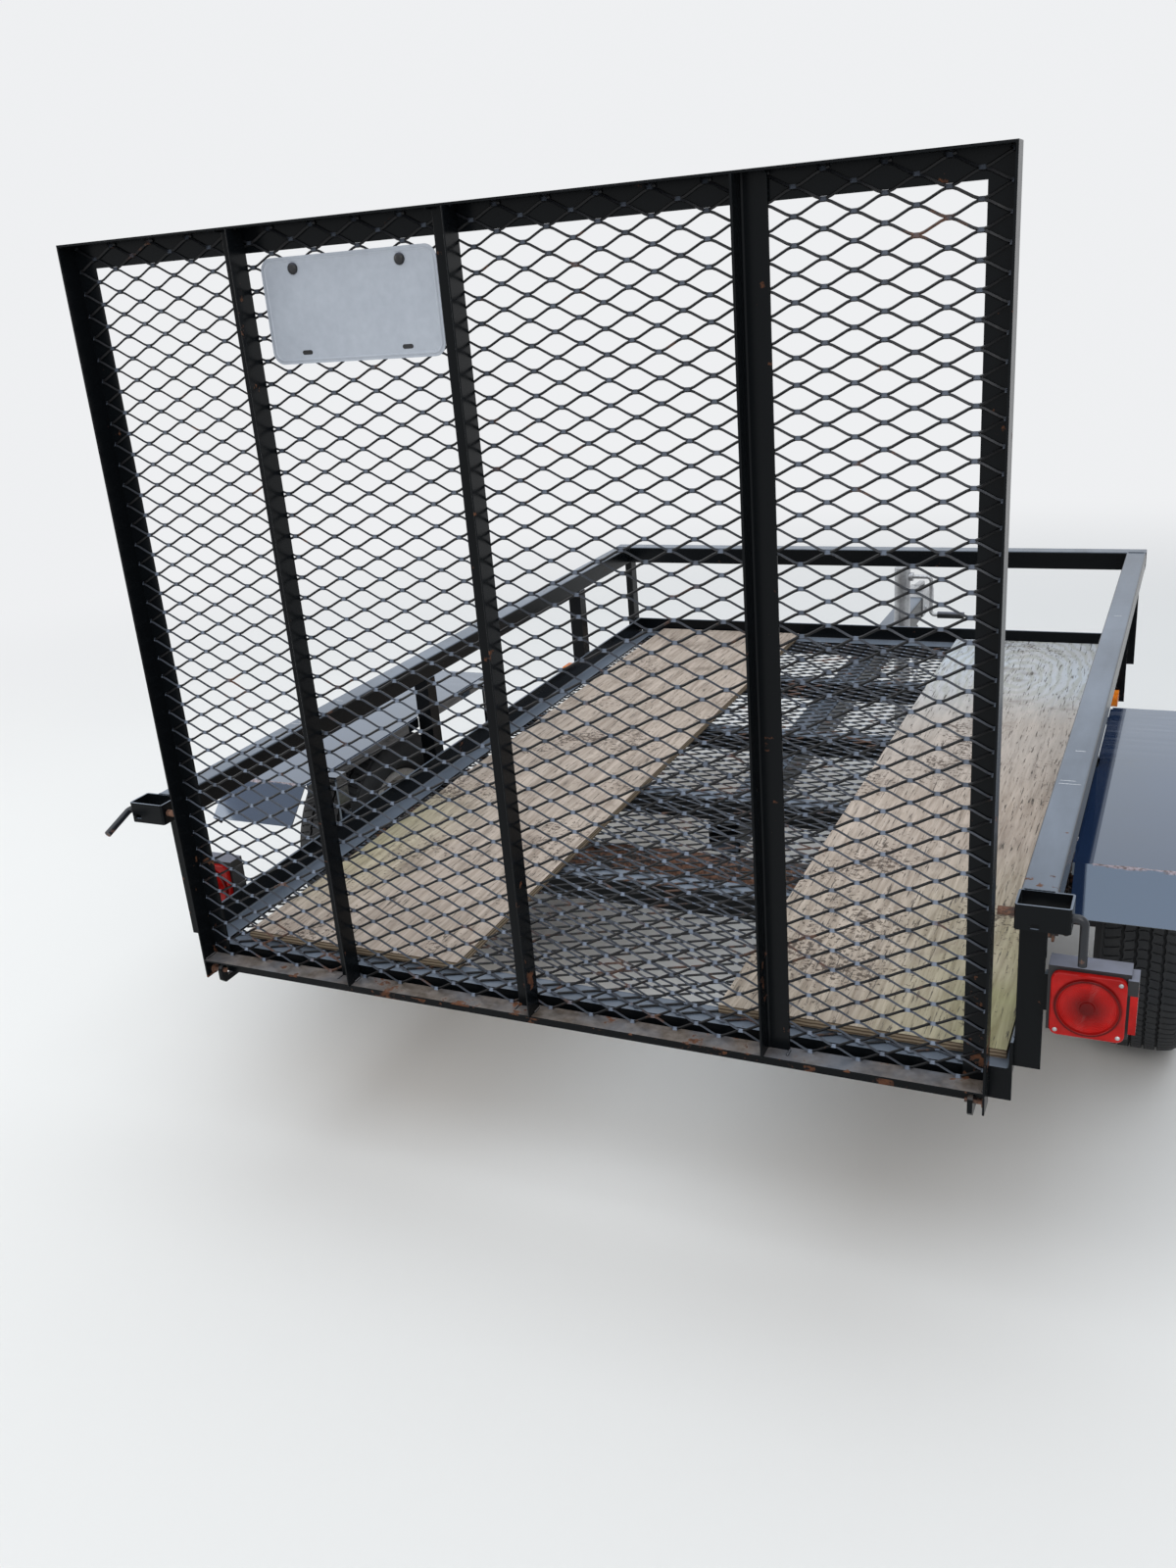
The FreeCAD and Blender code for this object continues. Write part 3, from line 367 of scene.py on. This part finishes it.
def lens(name, deep, bright, lamps=()):
    # moulded plastic with a dusty film, darker in the middle and with a painted shadow along the ring of each
    # named lens
    ring_radius, ring_width = 0.0435, 0.004
    s = Surface(name)
    patch = s.noise(24.0, 4.0)
    film = s.span(s.noise(60.0, 5.0), 0.55, 0.75, 0.0, 0.18)
    tone = s.mix(s.span(patch, 0.3, 0.7), deep, bright)
    colour = s.mix(film, tone, (0.22, 0.06, 0.05))
    for lamp in lamps:
        low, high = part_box(lamp)
        middle = (low + high) / 2
        across = s.maths("SUBTRACT", s.axis("X"), middle.x)
        away = s.distance(across, s.maths("SUBTRACT", s.axis("Z"), middle.z))
        centre = s.span(away, 0.034, 0.008, 0.0, 0.8)
        # the dark band along the raised ring is painted shadow; the middle is darker too
        shade = s.maths("MAXIMUM", centre, s.near(away, ring_radius, ring_width))
        colour = s.mix(shade, colour, (0.05, 0.002, 0.002))
    s.bump(s.noise(260.0, 2.0), 0.05, 0.0004)
    rough = s.span(patch, 0.3, 0.7, 0.14, 0.26)
    return s.set(base_color=colour, roughness=rough, specular_ior_level=0.16)


def plastic():
    # black moulding, faded grey on top
    s = Surface("black_plastic")
    patch = s.noise(20.0, 5.0)
    up = s.span(s.axis("Z", "normal"), 0.4, 0.95)
    faded = s.product(up, s.span(patch, 0.3, 0.6, 0.6, 1.0))
    s.bump(s.noise(180.0, 3.0), 0.1, 0.0005)
    black = s.mix(s.span(patch, 0.35, 0.65), (0.012, 0.012, 0.013), (0.024, 0.024, 0.026))
    colour = s.mix(faded, black, (0.155, 0.16, 0.2))
    rough = s.span(patch, 0.35, 0.65, 0.34, 0.52)
    return s.set(base_color=colour, roughness=rough, specular_ior_level=0.35)


tail_lenses = ("tail_lens_left", "tail_lens_right")
materials = {
    "black_plastic": plastic(),
    "black_paint": black_paint(),
    "mesh_paint": mesh_paint(),
    "fender_paint": fender_paint(),
    "weathered_wood": wood(),
    "bare_steel": rusty_steel(),
    "red_lens": lens("red_lens", (0.3, 0.005, 0.004), (0.52, 0.012, 0.01), tail_lenses),
    "amber_lens": lens("amber_lens", (0.5, 0.1, 0.008), (0.82, 0.24, 0.02)),
}
# name, light and dark colour, noise scale, metallic, roughness from and to, bump
plain = (
    ("zinc", (0.56, 0.57, 0.58), (0.3, 0.3, 0.31), 14.0, 0.75, 0.32, 0.55, 0.1),
    ("rim_paint", (0.6, 0.6, 0.59), (0.33, 0.29, 0.25), 8.0, 0.0, 0.35, 0.6, 0.1),
    ("tyre", (0.016, 0.0175, 0.02), (0.007, 0.0075, 0.008), 7.0, 0.0, 0.66, 0.9, 0.15),
    # the plate is white; its light grey blue here is painted shade
    ("blank_plate", (0.45, 0.485, 0.535), (0.38, 0.41, 0.46), 9.0, 0.0, 0.34, 0.5, 0.03),
)
for row in plain:
    materials[row[0]] = bare(*row)

for part in frame["record"]["subparts"]:
    node = nodes[part["node"]]
    node.data.materials.clear()
    node.data.materials.append(materials[part["material_slot"]])


# Meshes made here

class Shape:
    # points and faces of one piece
    def __init__(self):
        self.points = []
        self.faces = []

    def loft(self, rings, closed=True):
        # skin over rings with the same number of points, with flat ends
        base = len(self.points)
        count = len(rings[0])
        for ring in rings:
            self.points.extend(ring)
        for r in range(len(rings) - 1):
            for k in range(count):
                n = (k + 1) % count
                a = base + r * count
                b = a + count
                self.faces.append((a + k, a + n, b + n, b + k))
        if closed:
            last = base + (len(rings) - 1) * count
            self.faces.append(tuple(base + k for k in reversed(range(count))))
            self.faces.append(tuple(last + k for k in range(count)))

    def circle(self, centre, u, v, radius, count):
        turns = [2 * math.pi * k / count for k in range(count)]
        return [centre + u * (radius * math.cos(t)) + v * (radius * math.sin(t)) for t in turns]

    def turned(self, centre, axis, profile, count):
        # profile of (distance along the axis, radius)
        u = axis.orthogonal().normalized()
        v = axis.cross(u)
        self.loft([self.circle(centre + axis * a, u, v, r, count) for a, r in profile])

    def bolt(self, centre, axis, radius, height):
        # washer under a six sided head with a lowered rim
        self.turned(centre, axis, ((-0.001, radius * 1.7), (0.0012, radius * 1.7)), 20)
        head = ((0.0, radius), (height * 0.8, radius), (height, radius * 0.82))
        self.turned(centre, axis, head, 6)

    def dome(self, centre, axis, radius, height):
        # round head that starts a little inside what carries it
        profile = ((-0.001, radius), (height * 0.35, radius))
        profile += ((height * 0.8, radius * 0.75), (height, radius * 0.3))
        self.turned(centre, axis, profile, 16)

    def bead(self, start, end, radius):
        # weld bead with ripples
        ripple = 0.003
        along = (end - start).normalized()
        u = along.orthogonal().normalized()
        v = along.cross(u)
        count = max(4, int((end - start).length / ripple))
        rings = []
        for k in range(count + 1):
            centre = start.lerp(end, k / count)
            if k in (0, count):
                size = radius * 0.35
            else:
                size = radius * (0.84 + 0.24 * (k % 2) + chance.uniform(-0.08, 0.08))
            rings.append(self.circle(centre, u, v, size, 7))
        self.loft(rings)


def piece(name, shape, material, body, smooth=False):
    mesh = bpy.data.meshes.new(name)
    mesh.from_pydata([tuple(p) for p in shape.points], [], shape.faces)
    mesh.update()
    if smooth:
        mesh.polygons.foreach_set("use_smooth", [True] * len(mesh.polygons))
    obj = bpy.data.objects.new(name, mesh)
    scene.collection.objects.link(obj)
    mesh.materials.append(materials[material])
    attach(obj, body)
    return obj


def flip(point):
    # the same place on the other side
    return Vector((-point.x, point.y, point.z))


# Expanded metal: bonds in staggered rows with tilted strands between them

def add_bar(shape, start, end, width, depth, face, lean=0.0):
    # four sided bar from start to end, its section turned by lean about its own length
    along = (end - start).normalized()
    side = along.cross(face).normalized()
    turn = Matrix.Rotation(lean, 3, along)
    u = turn @ side * (width / 2)
    v = turn @ face * (depth / 2)
    shape.loft([[c + u + v, c - u + v, c - u - v, c + u - v] for c in (start, end)])


def expanded(name, node, along, face, body, path):
    # path: points of a strand from one knuckle to the next, as shares of the two half pitches
    inset = 0.002
    shortest = 0.02
    low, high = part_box(node)
    middle = (low + high) / 2
    u0, u1 = low.x + inset, high.x - inset
    w0, w1 = low.dot(along) + inset, high.dot(along) - inset
    plane = face * middle.dot(face)
    shape = Shape()

    def at(u, w):
        return X * u + along * w + plane

    def clipped(a, b):
        # ends of the stretch inside the sheet, or None
        t0, t1 = 0.0, 1.0
        for p, q, lo, hi in ((a[0], b[0], u0, u1), (a[1], b[1], w0, w1)):
            if p == q:
                if not lo <= p <= hi:
                    return None
                continue
            s0, s1 = sorted(((lo - p) / (q - p), (hi - p) / (q - p)))
            t0, t1 = max(t0, s0), min(t1, s1)
        if t1 - t0 < shortest:
            return None
        return [at(*(a[k] + t * (b[k] - a[k]) for k in (0, 1))) for t in (t0, t1)]

    for row in range(int((w1 - w0) / (SHORT / 2)) + 2):
        w = w0 + row * SHORT / 2
        for column in range(int(u0 / (LONG / 2)) - 2, int(u1 / (LONG / 2)) + 3):
            if (row + column) % 2:
                continue
            u = column * LONG / 2
            # start, end, width and lean of each bar that begins at this knuckle
            parts = [((u - BOND / 2, w), (u + BOND / 2, w), 2 * STRAND, BOND_LEAN)]
            for sign in (1, -1):
                run = [(u + share * LONG / 2, w + sign * rise * SHORT / 2) for share, rise in path]
                parts += [(a, b, STRAND, STRAND_LEAN * sign) for a, b in zip(run, run[1:])]
            for a, b, width, lean in parts:
                cut = clipped(a, b)
                if cut:
                    add_bar(shape, cut[0], cut[1], width, STRAND_DEPTH, face, lean)
    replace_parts(piece(name, shape, "mesh_paint", body), node)


# the gate's strands leave each knuckle at a shallow angle, the floor's run straight
gate_path = ((0.09, 0.07), (0.25, 0.195), (0.75, 0.805), (0.91, 0.93))
floor_path = ((0.09, 0.09), (0.91, 0.91))
expanded("gate_expanded_metal", "gate_mesh", Z, -Y, "gate", gate_path)
expanded("floor_expanded_metal", "floor_mesh", Y, Z, "trailer", floor_path)


# Tyres: ribs with zigzag grooves, slanted sipes and notched shoulders

# pitches round the tyre, depth of a lug's or sipe's cut and how far the grooves swing
PITCHES = 92
CUT = 0.003
ZIGZAG = 0.0009
# turn of the lugs and sipes round the tyre, for each metre away from its middle
SLANT = 0.77
# distance of the grooves from the middle plane
GROOVES = (0.036, 0.012, -0.012, -0.036)


def tyre_wall(half):
    # distance from the middle plane and radius, from the bead out to the tread
    wall = ((0.054, 0.1526), (0.054, 0.168), (0.061, 0.1735), (0.070, 0.178), (0.078, 0.186))
    wall += ((0.083, 0.195), (half - 0.0012, 0.204), (half - 0.0002, 0.212), (half - 0.0006, 0.222))
    return wall + ((0.085, 0.232), (0.0815, 0.241), (0.077, 0.249), (0.0735, 0.2525), (0.071, 0.2527))


def tyre_tread():
    # distance from the middle plane, drop from the crown, zigzag share, kind
    shoulder = ((0.0665, 0.0055), (0.060, 0.0032), (0.052, 0.0015), (0.045, 0.0008))
    tread = [(x, drop, 0, "lug") for x, drop in shoulder]
    groove = ((0.0030, 0.0), (0.0022, 0.007), (-0.0022, 0.007), (-0.0030, 0.0))
    for middle in GROOVES:
        tread += [(middle + shift, drop, 1, "groove") for shift, drop in groove]
        if middle > GROOVES[-1]:
            tread += [(middle - shift, 0.0, 0.5, "sipe") for shift in (0.007, 0.0115, 0.0165)]
    return tread + [(-x, drop, 0, "lug") for x, drop in reversed(shoulder)]


def tyre(side):
    low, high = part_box("tyre_" + side)
    centre = (low + high) / 2
    # just inside the CAD tyre
    top = (high.z - low.z) / 2 - 0.0001
    wall = tyre_wall((high.x - low.x) / 2)
    tread = tyre_tread()
    # share of the pitch, what is cut there, zigzag side
    steps = ((0.0, "", 1), (0.05, "lug", 1), (0.2, "lug", 1), (0.25, "", 1))
    steps += ((0.5, "", -1), (0.54, "sipe", -1), (0.62, "sipe", -1), (0.66, "", -1))
    shape = Shape()
    for pitch in range(PITCHES):
        for share, opened, turn in steps:
            ring = [(x, r, 0.0) for x, r in wall]
            for x, drop, zigzag, kind in tread:
                depth = drop + (CUT if kind == opened else 0.0)
                ring.append((x + ZIGZAG * zigzag * turn, top - depth, SLANT * abs(x)))
            ring += [(-x, r, 0.0) for x, r in reversed(wall)]
            angle = (pitch + share) / PITCHES * 2 * math.pi
            for x, r, slant in ring:
                t = angle + slant
                shape.points.append(centre + X * x + Y * (r * math.cos(t)) + Z * (r * math.sin(t)))
    count = len(ring)
    rings = len(shape.points) // count
    for r in range(rings):
        a = r * count
        b = (r + 1) % rings * count
        for k in range(count):
            n = (k + 1) % count
            shape.faces.append((a + k, b + k, b + n, a + n))
    obj = piece("tyre_tread_" + side, shape, "tyre", "wheel_" + side)
    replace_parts(obj, "tyre_" + side)


def valve(side):
    # rubber stem through the rim, leaning outwards
    low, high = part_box("tyre_" + side)
    outward, off_axis, slope = 0.030, 0.118, 0.25
    out = X if side == "right" else -X
    spot = (low + high) / 2 + out * outward + Y * off_axis
    lean = (out + Y * slope).normalized()
    shape = Shape()
    shape.turned(spot, lean, ((-0.02, 0.0055), (0.012, 0.0045), (0.013, 0.004), (0.03, 0.004)), 12)
    piece("valve_" + side, shape, "black_plastic", "wheel_" + side, True)


for side in ("left", "right"):
    tyre(side)
    valve(side)


# Flat pieces with round corners

CORNER_STEPS = 6


def rounded(low, high, radius, inset, y):
    # ring along a box's outline as seen from behind, drawn in by the inset
    middle = (low + high) / 2
    reach = radius - inset
    points = []
    for sx, sz, start in ((1, 1, 0), (-1, 1, 90), (-1, -1, 180), (1, -1, 270)):
        x = middle.x + sx * ((high.x - low.x) / 2 - radius)
        z = middle.z + sz * ((high.z - low.z) / 2 - radius)
        for k in range(CORNER_STEPS + 1):
            t = math.radians(start + 90 * k / CORNER_STEPS)
            points.append(Vector((x + reach * math.cos(t), y, z + reach * math.sin(t))))
    return points


# Tail lamp lenses: rounded plate, one raised ring, fine circular ribs and a small boss

def tail_lens(side):
    proud = 0.0041
    corner = 0.012
    bevel = 0.0015
    rib_height, rib_pitch, rib_start, rib_count = 0.0006, 0.0012, 0.0398, 24
    low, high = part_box("tail_lens_" + side)
    middle = (low + high) / 2
    face = low.y + proud
    shape = Shape()
    rings = ((high.y, 0.0), (face + bevel, 0.0), (face, bevel))
    shape.loft([rounded(low, high, corner, inset, y) for y, inset in rings])
    # distance out from the face and radius: raised ring, ribs, boss
    profile = [(-0.001, 0.045), (0.0034, 0.0448), (proud, 0.0442), (proud, 0.0418)]
    profile += [(0.0034, 0.0412), (rib_height, 0.0408)]
    profile += [(rib_height * (1 + k % 2), rib_start - rib_pitch * k) for k in range(rib_count)]
    profile += [(0.0012, 0.0105), (0.003, 0.0095), (0.0035, 0.006), (0.0035, 0.001)]
    shape.turned(Vector((middle.x, face, middle.z)), -Y, profile, 72)
    obj = piece("tail_lens_ribbed_" + side, shape, "red_lens", "trailer")
    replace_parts(obj, "tail_lens_" + side)


for side in ("left", "right"):
    tail_lens(side)


# Hem that turns in along each fender's inner edge, open at the post beside it

def hem():
    thick, tall = 0.0044, 0.024
    inward, down = 0.0022, 0.014
    end_gap, post_gap = 0.004, 0.006
    shortest = 0.02
    low, high = FENDER_LOW, FENDER_HIGH
    post = CROSS_LOW.y + CROSS_PITCH
    rear = (low.y + FENDER_SLOPE + end_gap, post - post_gap)
    front = (post + LEG + post_gap, high.y - FENDER_SLOPE - end_gap)
    for side in ("left", "right"):
        x = (low.x - inward) * (1 if side == "right" else -1)
        shape = Shape()
        for start, end in (rear, front):
            if end - start > shortest:
                a, b = (Vector((x, y, high.z - down)) for y in (start, end))
                add_bar(shape, a, b, thick, tall, Z)
        piece("fender_hem_" + side, shape, "fender_paint", "trailer")


hem()


# Plate: raised rim, two bolts at the top and two empty slots at the bottom

def plate():
    corner = 0.019
    bolt_xs, bolt_down = (-0.094, 0.092), 0.017
    bolt_radius, bolt_height = 0.0085, 0.005
    slot_xs, slot_up = (-0.089, 0.089), 0.016
    slot_half, slot_radius, slot_proud = 0.006, 0.0032, 0.0003
    low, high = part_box("licence_plate")
    middle = (low + high) / 2
    face = low.y
    rim = Shape()
    # inset from the edge and how far the rim stands out there
    steps = ((0.0035, 0.0), (0.0045, 0.0008), (0.0062, 0.0008), (0.0074, 0.0))
    rim.loft([rounded(low, high, corner, inset, face - proud) for inset, proud in steps], closed=False)
    piece("plate_rim", rim, "blank_plate", "gate", True)
    bolts = Shape()
    for x in bolt_xs:
        spot = Vector((middle.x + x, face, high.z - bolt_down))
        bolts.dome(spot, -Y, bolt_radius, bolt_height)
    piece("plate_bolts", bolts, "black_plastic", "gate", True)
    slots = Shape()
    for x in slot_xs:
        centre = Vector((middle.x + x, face, low.z + slot_up))
        ring = []
        for end, start in ((1, -90), (-1, 90)):
            for k in range(7):
                t = math.radians(start + 30 * k)
                across = end * slot_half + slot_radius * math.cos(t)
                ring.append(centre + X * across + Z * (slot_radius * math.sin(t)))
        slots.loft([ring, [p - Y * slot_proud for p in ring]])
    piece("plate_slots", slots, "black_plastic", "gate")


plate()


# Bolts and screws

def lamp_screws():
    # three screws in each tail lens and two in each marker's base
    inset, sunk = 0.0085, 0.005
    lens_radius, lens_height = 0.0036, 0.0022
    marker_inset, marker_radius, marker_height = 0.0025, 0.0022, 0.0015
    screws = Shape()
    for side in ("left", "right"):
        low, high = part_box("tail_lens_" + side)
        out = 1 if side == "right" else -1
        outer = high.x - inset if out > 0 else low.x + inset
        inner = low.x + inset if out > 0 else high.x - inset
        bottom, top = low.z + inset, high.z - inset
        for x, z in ((inner, bottom), (outer, bottom), (outer, top)):
            screws.dome(Vector((x, low.y + sunk, z)), -Y, lens_radius, lens_height)
        low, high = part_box("marker_base_" + side)
        face = high.x if out > 0 else low.x
        for y in (low.y + marker_inset, high.y - marker_inset):
            spot = Vector((face, y, (low.z + high.z) / 2))
            screws.dome(spot, X * out, marker_radius, marker_height)
    piece("lamp_screws", screws, "zinc", "trailer", True)


def tongue_bolts():
    # two bolts through each side of the coupler and four in the jack's mount
    coupler_ys, coupler_down = (0.035, 0.14), 0.045
    coupler_radius, coupler_height = 0.0095, 0.008
    mount_plate, mount_y, mount_z = 0.006, 0.013, 0.014
    mount_radius, mount_height = 0.0075, 0.0065
    bolts = Shape()
    low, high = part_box("coupler")
    for y in coupler_ys:
        for x, axis in ((low.x, -X), (high.x, X)):
            spot = Vector((x, low.y + y, high.z - coupler_down))
            bolts.bolt(spot, axis, coupler_radius, coupler_height)
    low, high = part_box("jack_mount")
    for y in (low.y + mount_y, high.y - mount_y):
        for z in (low.z + mount_z, high.z - mount_z):
            spot = Vector((low.x + mount_plate, y, z))
            bolts.bolt(spot, X, mount_radius, mount_height)
    piece("tongue_bolts", bolts, "zinc", "trailer")


lamp_screws()
tongue_bolts()


# Weld beads

# radius of the frame's beads, and how far a bead stops before a tube's edge
SEAM = 0.0022
EDGE = 0.004


def tube_welds(rail_low, rail_high, front):
    # side tube butted on the front tube and the latch sleeve on the side tube's rear end
    inner, outer = rail_low.x, rail_high.x
    under, top = rail_low.z, rail_high.z
    lines = []
    for y in (front, rail_low.y):
        lines.append(((inner + EDGE, y, top), (outer - EDGE, y, top)))
        lines.append(((inner + EDGE, y, under), (outer - EDGE, y, under)))
        lines.append(((inner, y, under + EDGE), (inner, y, top - EDGE)))
    lines.append(((outer, rail_low.y, under + EDGE), (outer, rail_low.y, top - EDGE)))
    return lines


def post_welds(inner, under, floor_low, floor_high):
    # posts under the top tube and on the floor rail's lip
    heel, lip, rounding = 0.003, 0.006, 0.002
    posts_low, posts_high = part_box("posts_right")
    first = CROSS_LOW.y
    lines = []
    for y in (posts_low.y, first + CROSS_PITCH, first + 3 * CROSS_PITCH, posts_high.y - LEG):
        front = y + LEG - rounding
        lines.append(((inner + heel, y, under), (inner + LEG, y, under)))
        lines.append(((inner, front, floor_low.z + lip), (inner, front, floor_high.z - rounding)))
        lines.append(((inner, y, floor_high.z), (inner, y + LEG, floor_high.z)))
    return lines


def crossmember_welds(floor_low, floor_high):
    # crossmembers under the floor rails
    start, end = floor_low.x + 0.002, floor_high.x - EDGE
    ys = [CROSS_LOW.y + k * CROSS_PITCH for k in range(CROSS_COUNT)]
    return [((start, y, floor_low.z), (end, y, floor_low.z)) for y in ys]


def rail_seams(rail_low, rail_high):
    # ground seams across the side tubes' tops
    radius, sunk = 0.0014, 0.0008
    seams = Shape()
    across = rail_high.x - rail_low.x - 2 * EDGE
    # share of the tube's length, then where the seam starts and ends as shares of its width
    rows = ((0.187, 0.03, 0.97), (0.1935, 0.05, 0.75), (0.26, 0.3, 0.8), (0.685, 0.25, 0.75))
    for share, start, end in rows:
        y = rail_low.y + share * (rail_high.y - rail_low.y)
        a = Vector((rail_low.x + EDGE + across * start, y, rail_high.z - sunk))
        b = Vector((rail_low.x + EDGE + across * end, y, rail_high.z - sunk))
        seams.bead(a, b, radius)
        seams.bead(flip(a), flip(b), radius)
    piece("rail_seams", seams, "zinc", "trailer", True)


def frame_welds():
    rail_low, rail_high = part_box("top_rail_right")
    floor_low, floor_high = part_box("rail_right")
    lines = tube_welds(rail_low, rail_high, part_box("top_rail_front")[0].y)
    lines += post_welds(rail_low.x, rail_low.z, floor_low, floor_high)
    lines += crossmember_welds(floor_low, floor_high)
    beads = Shape()
    for start, end in lines:
        beads.bead(Vector(start), Vector(end), SEAM)
        beads.bead(flip(Vector(start)), flip(Vector(end)), SEAM)
    # the tongue's two sides under the three front crossmembers
    start, end, radius = 0.003, 0.047, 0.003
    low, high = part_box("tongue")
    for k in range(1, CROSS_COUNT):
        y = CROSS_LOW.y + k * CROSS_PITCH
        for x in (low.x, high.x):
            beads.bead(Vector((x, y + start, high.z)), Vector((x, y + end, high.z)), radius)
    piece("frame_welds", beads, "black_paint", "trailer", True)


def gate_welds():
    # ends of the gate's frame corners and of its three bars, top and bottom
    middle_bar = -0.022
    low, high = GATE_LOW, GATE_HIGH
    bars_low, bars_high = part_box("gate_bars")
    corner = high.x - WALL
    bars = (bars_low.x, middle_bar - LEG, bars_high.x - LEG)
    edges = [edge for bar in bars for edge in (bar, bar + LEG)]
    # places across the gate, front gap, rear gap, radius
    rows = (((corner, -corner), 0.004, 0.003, 0.0025), (edges, 0.007, 0.012, 0.0024))
    beads = Shape()
    for xs, front_gap, rear_gap, radius in rows:
        for x in xs:
            for z in (bars_low.z, bars_high.z):
                start = Vector((x, high.y - front_gap, z))
                end = Vector((x, low.y + rear_gap, z))
                beads.bead(start, end, radius)
    piece("gate_welds", beads, "black_paint", "gate", True)


rail_seams(*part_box("top_rail_right"))
frame_welds()
gate_welds()


# Pale studio: floor that fades into the background, soft light from above and the sides

PALE = (0.86, 0.87, 0.885, 1.0)


def rays(tree):
    # 1 for what is seen directly, mirrored or through glass
    path = tree.nodes.new("ShaderNodeLightPath")
    result = path.outputs["Is Camera Ray"]
    for name in ("Is Glossy Ray", "Is Transmission Ray"):
        node = tree.nodes.new("ShaderNodeMath")
        node.operation = "MAXIMUM"
        tree.links.new(result, node.inputs[0])
        tree.links.new(path.outputs[name], node.inputs[1])
        result = node.outputs[0]
    return result


def studio():
    # the floor fades out between two distances from the middle
    near_end, far_end = 2.0, 5.6
    floor_half = 60.0
    s = Surface("studio_floor")
    ground = s.mix(s.noise(0.9, 2.0), (0.80, 0.775, 0.735), (0.825, 0.80, 0.76))
    s.set(base_color=ground, roughness=0.85, specular_ior_level=0.1)
    glow = s.add("ShaderNodeEmission")
    glow.inputs["Color"].default_value = PALE
    fade = s.add("ShaderNodeMapRange", clamp=True, interpolation_type="SMOOTHSTEP")
    s.feed(fade.inputs["Value"], s.distance(s.axis("X"), s.axis("Y")))
    fade.inputs["From Min"].default_value = near_end
    fade.inputs["From Max"].default_value = far_end
    cover = s.add("ShaderNodeMixShader")
    s.feed(cover.inputs[0], s.maths("MULTIPLY", fade.outputs["Result"], rays(s.tree)))
    s.feed(cover.inputs[1], s.shader.outputs[0])
    s.feed(cover.inputs[2], glow.outputs[0])
    s.feed(s.tree.nodes["Material Output"].inputs["Surface"], cover.outputs[0])
    mesh = bpy.data.meshes.new("studio_floor")
    corners = [(x * floor_half, y * floor_half, 0) for x, y in ((-1, -1), (1, -1), (1, 1), (-1, 1))]
    mesh.from_pydata(corners, [], [(0, 1, 2, 3)])
    mesh.materials.append(s.material)
    floor = bpy.data.objects.new("studio_floor", mesh)
    scene.collection.objects.link(floor)
    # name, place, aim, size, power, colour
    lamps = (
        ("sky", (-0.5, -0.8, 6.5), (-0.5, -0.8, 0.0), (10.0, 10.0), 400.0, (0.84, 0.92, 1.0)),
        ("left", (-6.5, -3.0, 3.5), (0, 0, 0.6), (4.0, 4.0), 150.0, (1.0, 0.97, 0.93)),
        ("rear", (3.0, -6.5, 4.5), (0, 0, 0.7), (4.0, 4.0), 135.0, (1.0, 0.98, 0.96)),
    )
    for name, place, aim, size, power, colour in lamps:
        data = bpy.data.lights.new(name, "AREA")
        data.shape = "RECTANGLE"
        data.size, data.size_y = size
        data.energy = power
        data.color = colour
        lamp = bpy.data.objects.new(name, data)
        lamp.location = place
        lamp.rotation_euler = (Vector(aim) - Vector(place)).to_track_quat("-Z", "Y").to_euler()
        scene.collection.objects.link(lamp)
    world = bpy.data.worlds.new("studio")
    world.use_nodes = True
    scene.world = world
    tree = world.node_tree
    background = tree.nodes["Background"]
    background.inputs["Color"].default_value = (0.78, 0.84, 0.93, 1.0)
    background.inputs["Strength"].default_value = 0.5
    pale = tree.nodes.new("ShaderNodeBackground")
    pale.inputs["Color"].default_value = PALE
    pale.inputs["Strength"].default_value = 1.0
    blend = tree.nodes.new("ShaderNodeMixShader")
    tree.links.new(rays(tree), blend.inputs[0])
    tree.links.new(background.outputs[0], blend.inputs[1])
    tree.links.new(pale.outputs[0], blend.inputs[2])
    tree.links.new(blend.outputs[0], tree.nodes["World Output"].inputs["Surface"])


def camera():
    # fitted to the photograph; the sensor's longer side spans the picture's height
    place = Vector((0.9571, REAR - 1.7660, 1.5749))
    yaw, pitch, roll = (math.radians(a) for a in (25.89, -21.17, -4.77))
    focal_pixels = 1353.1
    picture_height = 1600
    sensor = 36.0
    level_reach = math.cos(pitch)
    ahead = Vector((-math.sin(yaw) * level_reach, math.cos(yaw) * level_reach, math.sin(pitch)))
    level = Vector((math.cos(yaw), math.sin(yaw), 0))
    above = level.cross(ahead)
    right = level * math.cos(roll) + above * math.sin(roll)
    up = above * math.cos(roll) - level * math.sin(roll)
    data = bpy.data.cameras.new("camera")
    data.sensor_fit = "AUTO"
    data.sensor_width = sensor
    data.lens = focal_pixels / picture_height * sensor
    data.clip_start = 0.05
    data.clip_end = 200
    cam = bpy.data.objects.new("camera", data)
    turn = Matrix((right, up, -ahead)).transposed().to_4x4()
    cam.matrix_world = Matrix.Translation(place) @ turn
    scene.collection.objects.link(cam)
    scene.camera = cam


studio()
camera()
scene.view_settings.view_transform = "Standard"
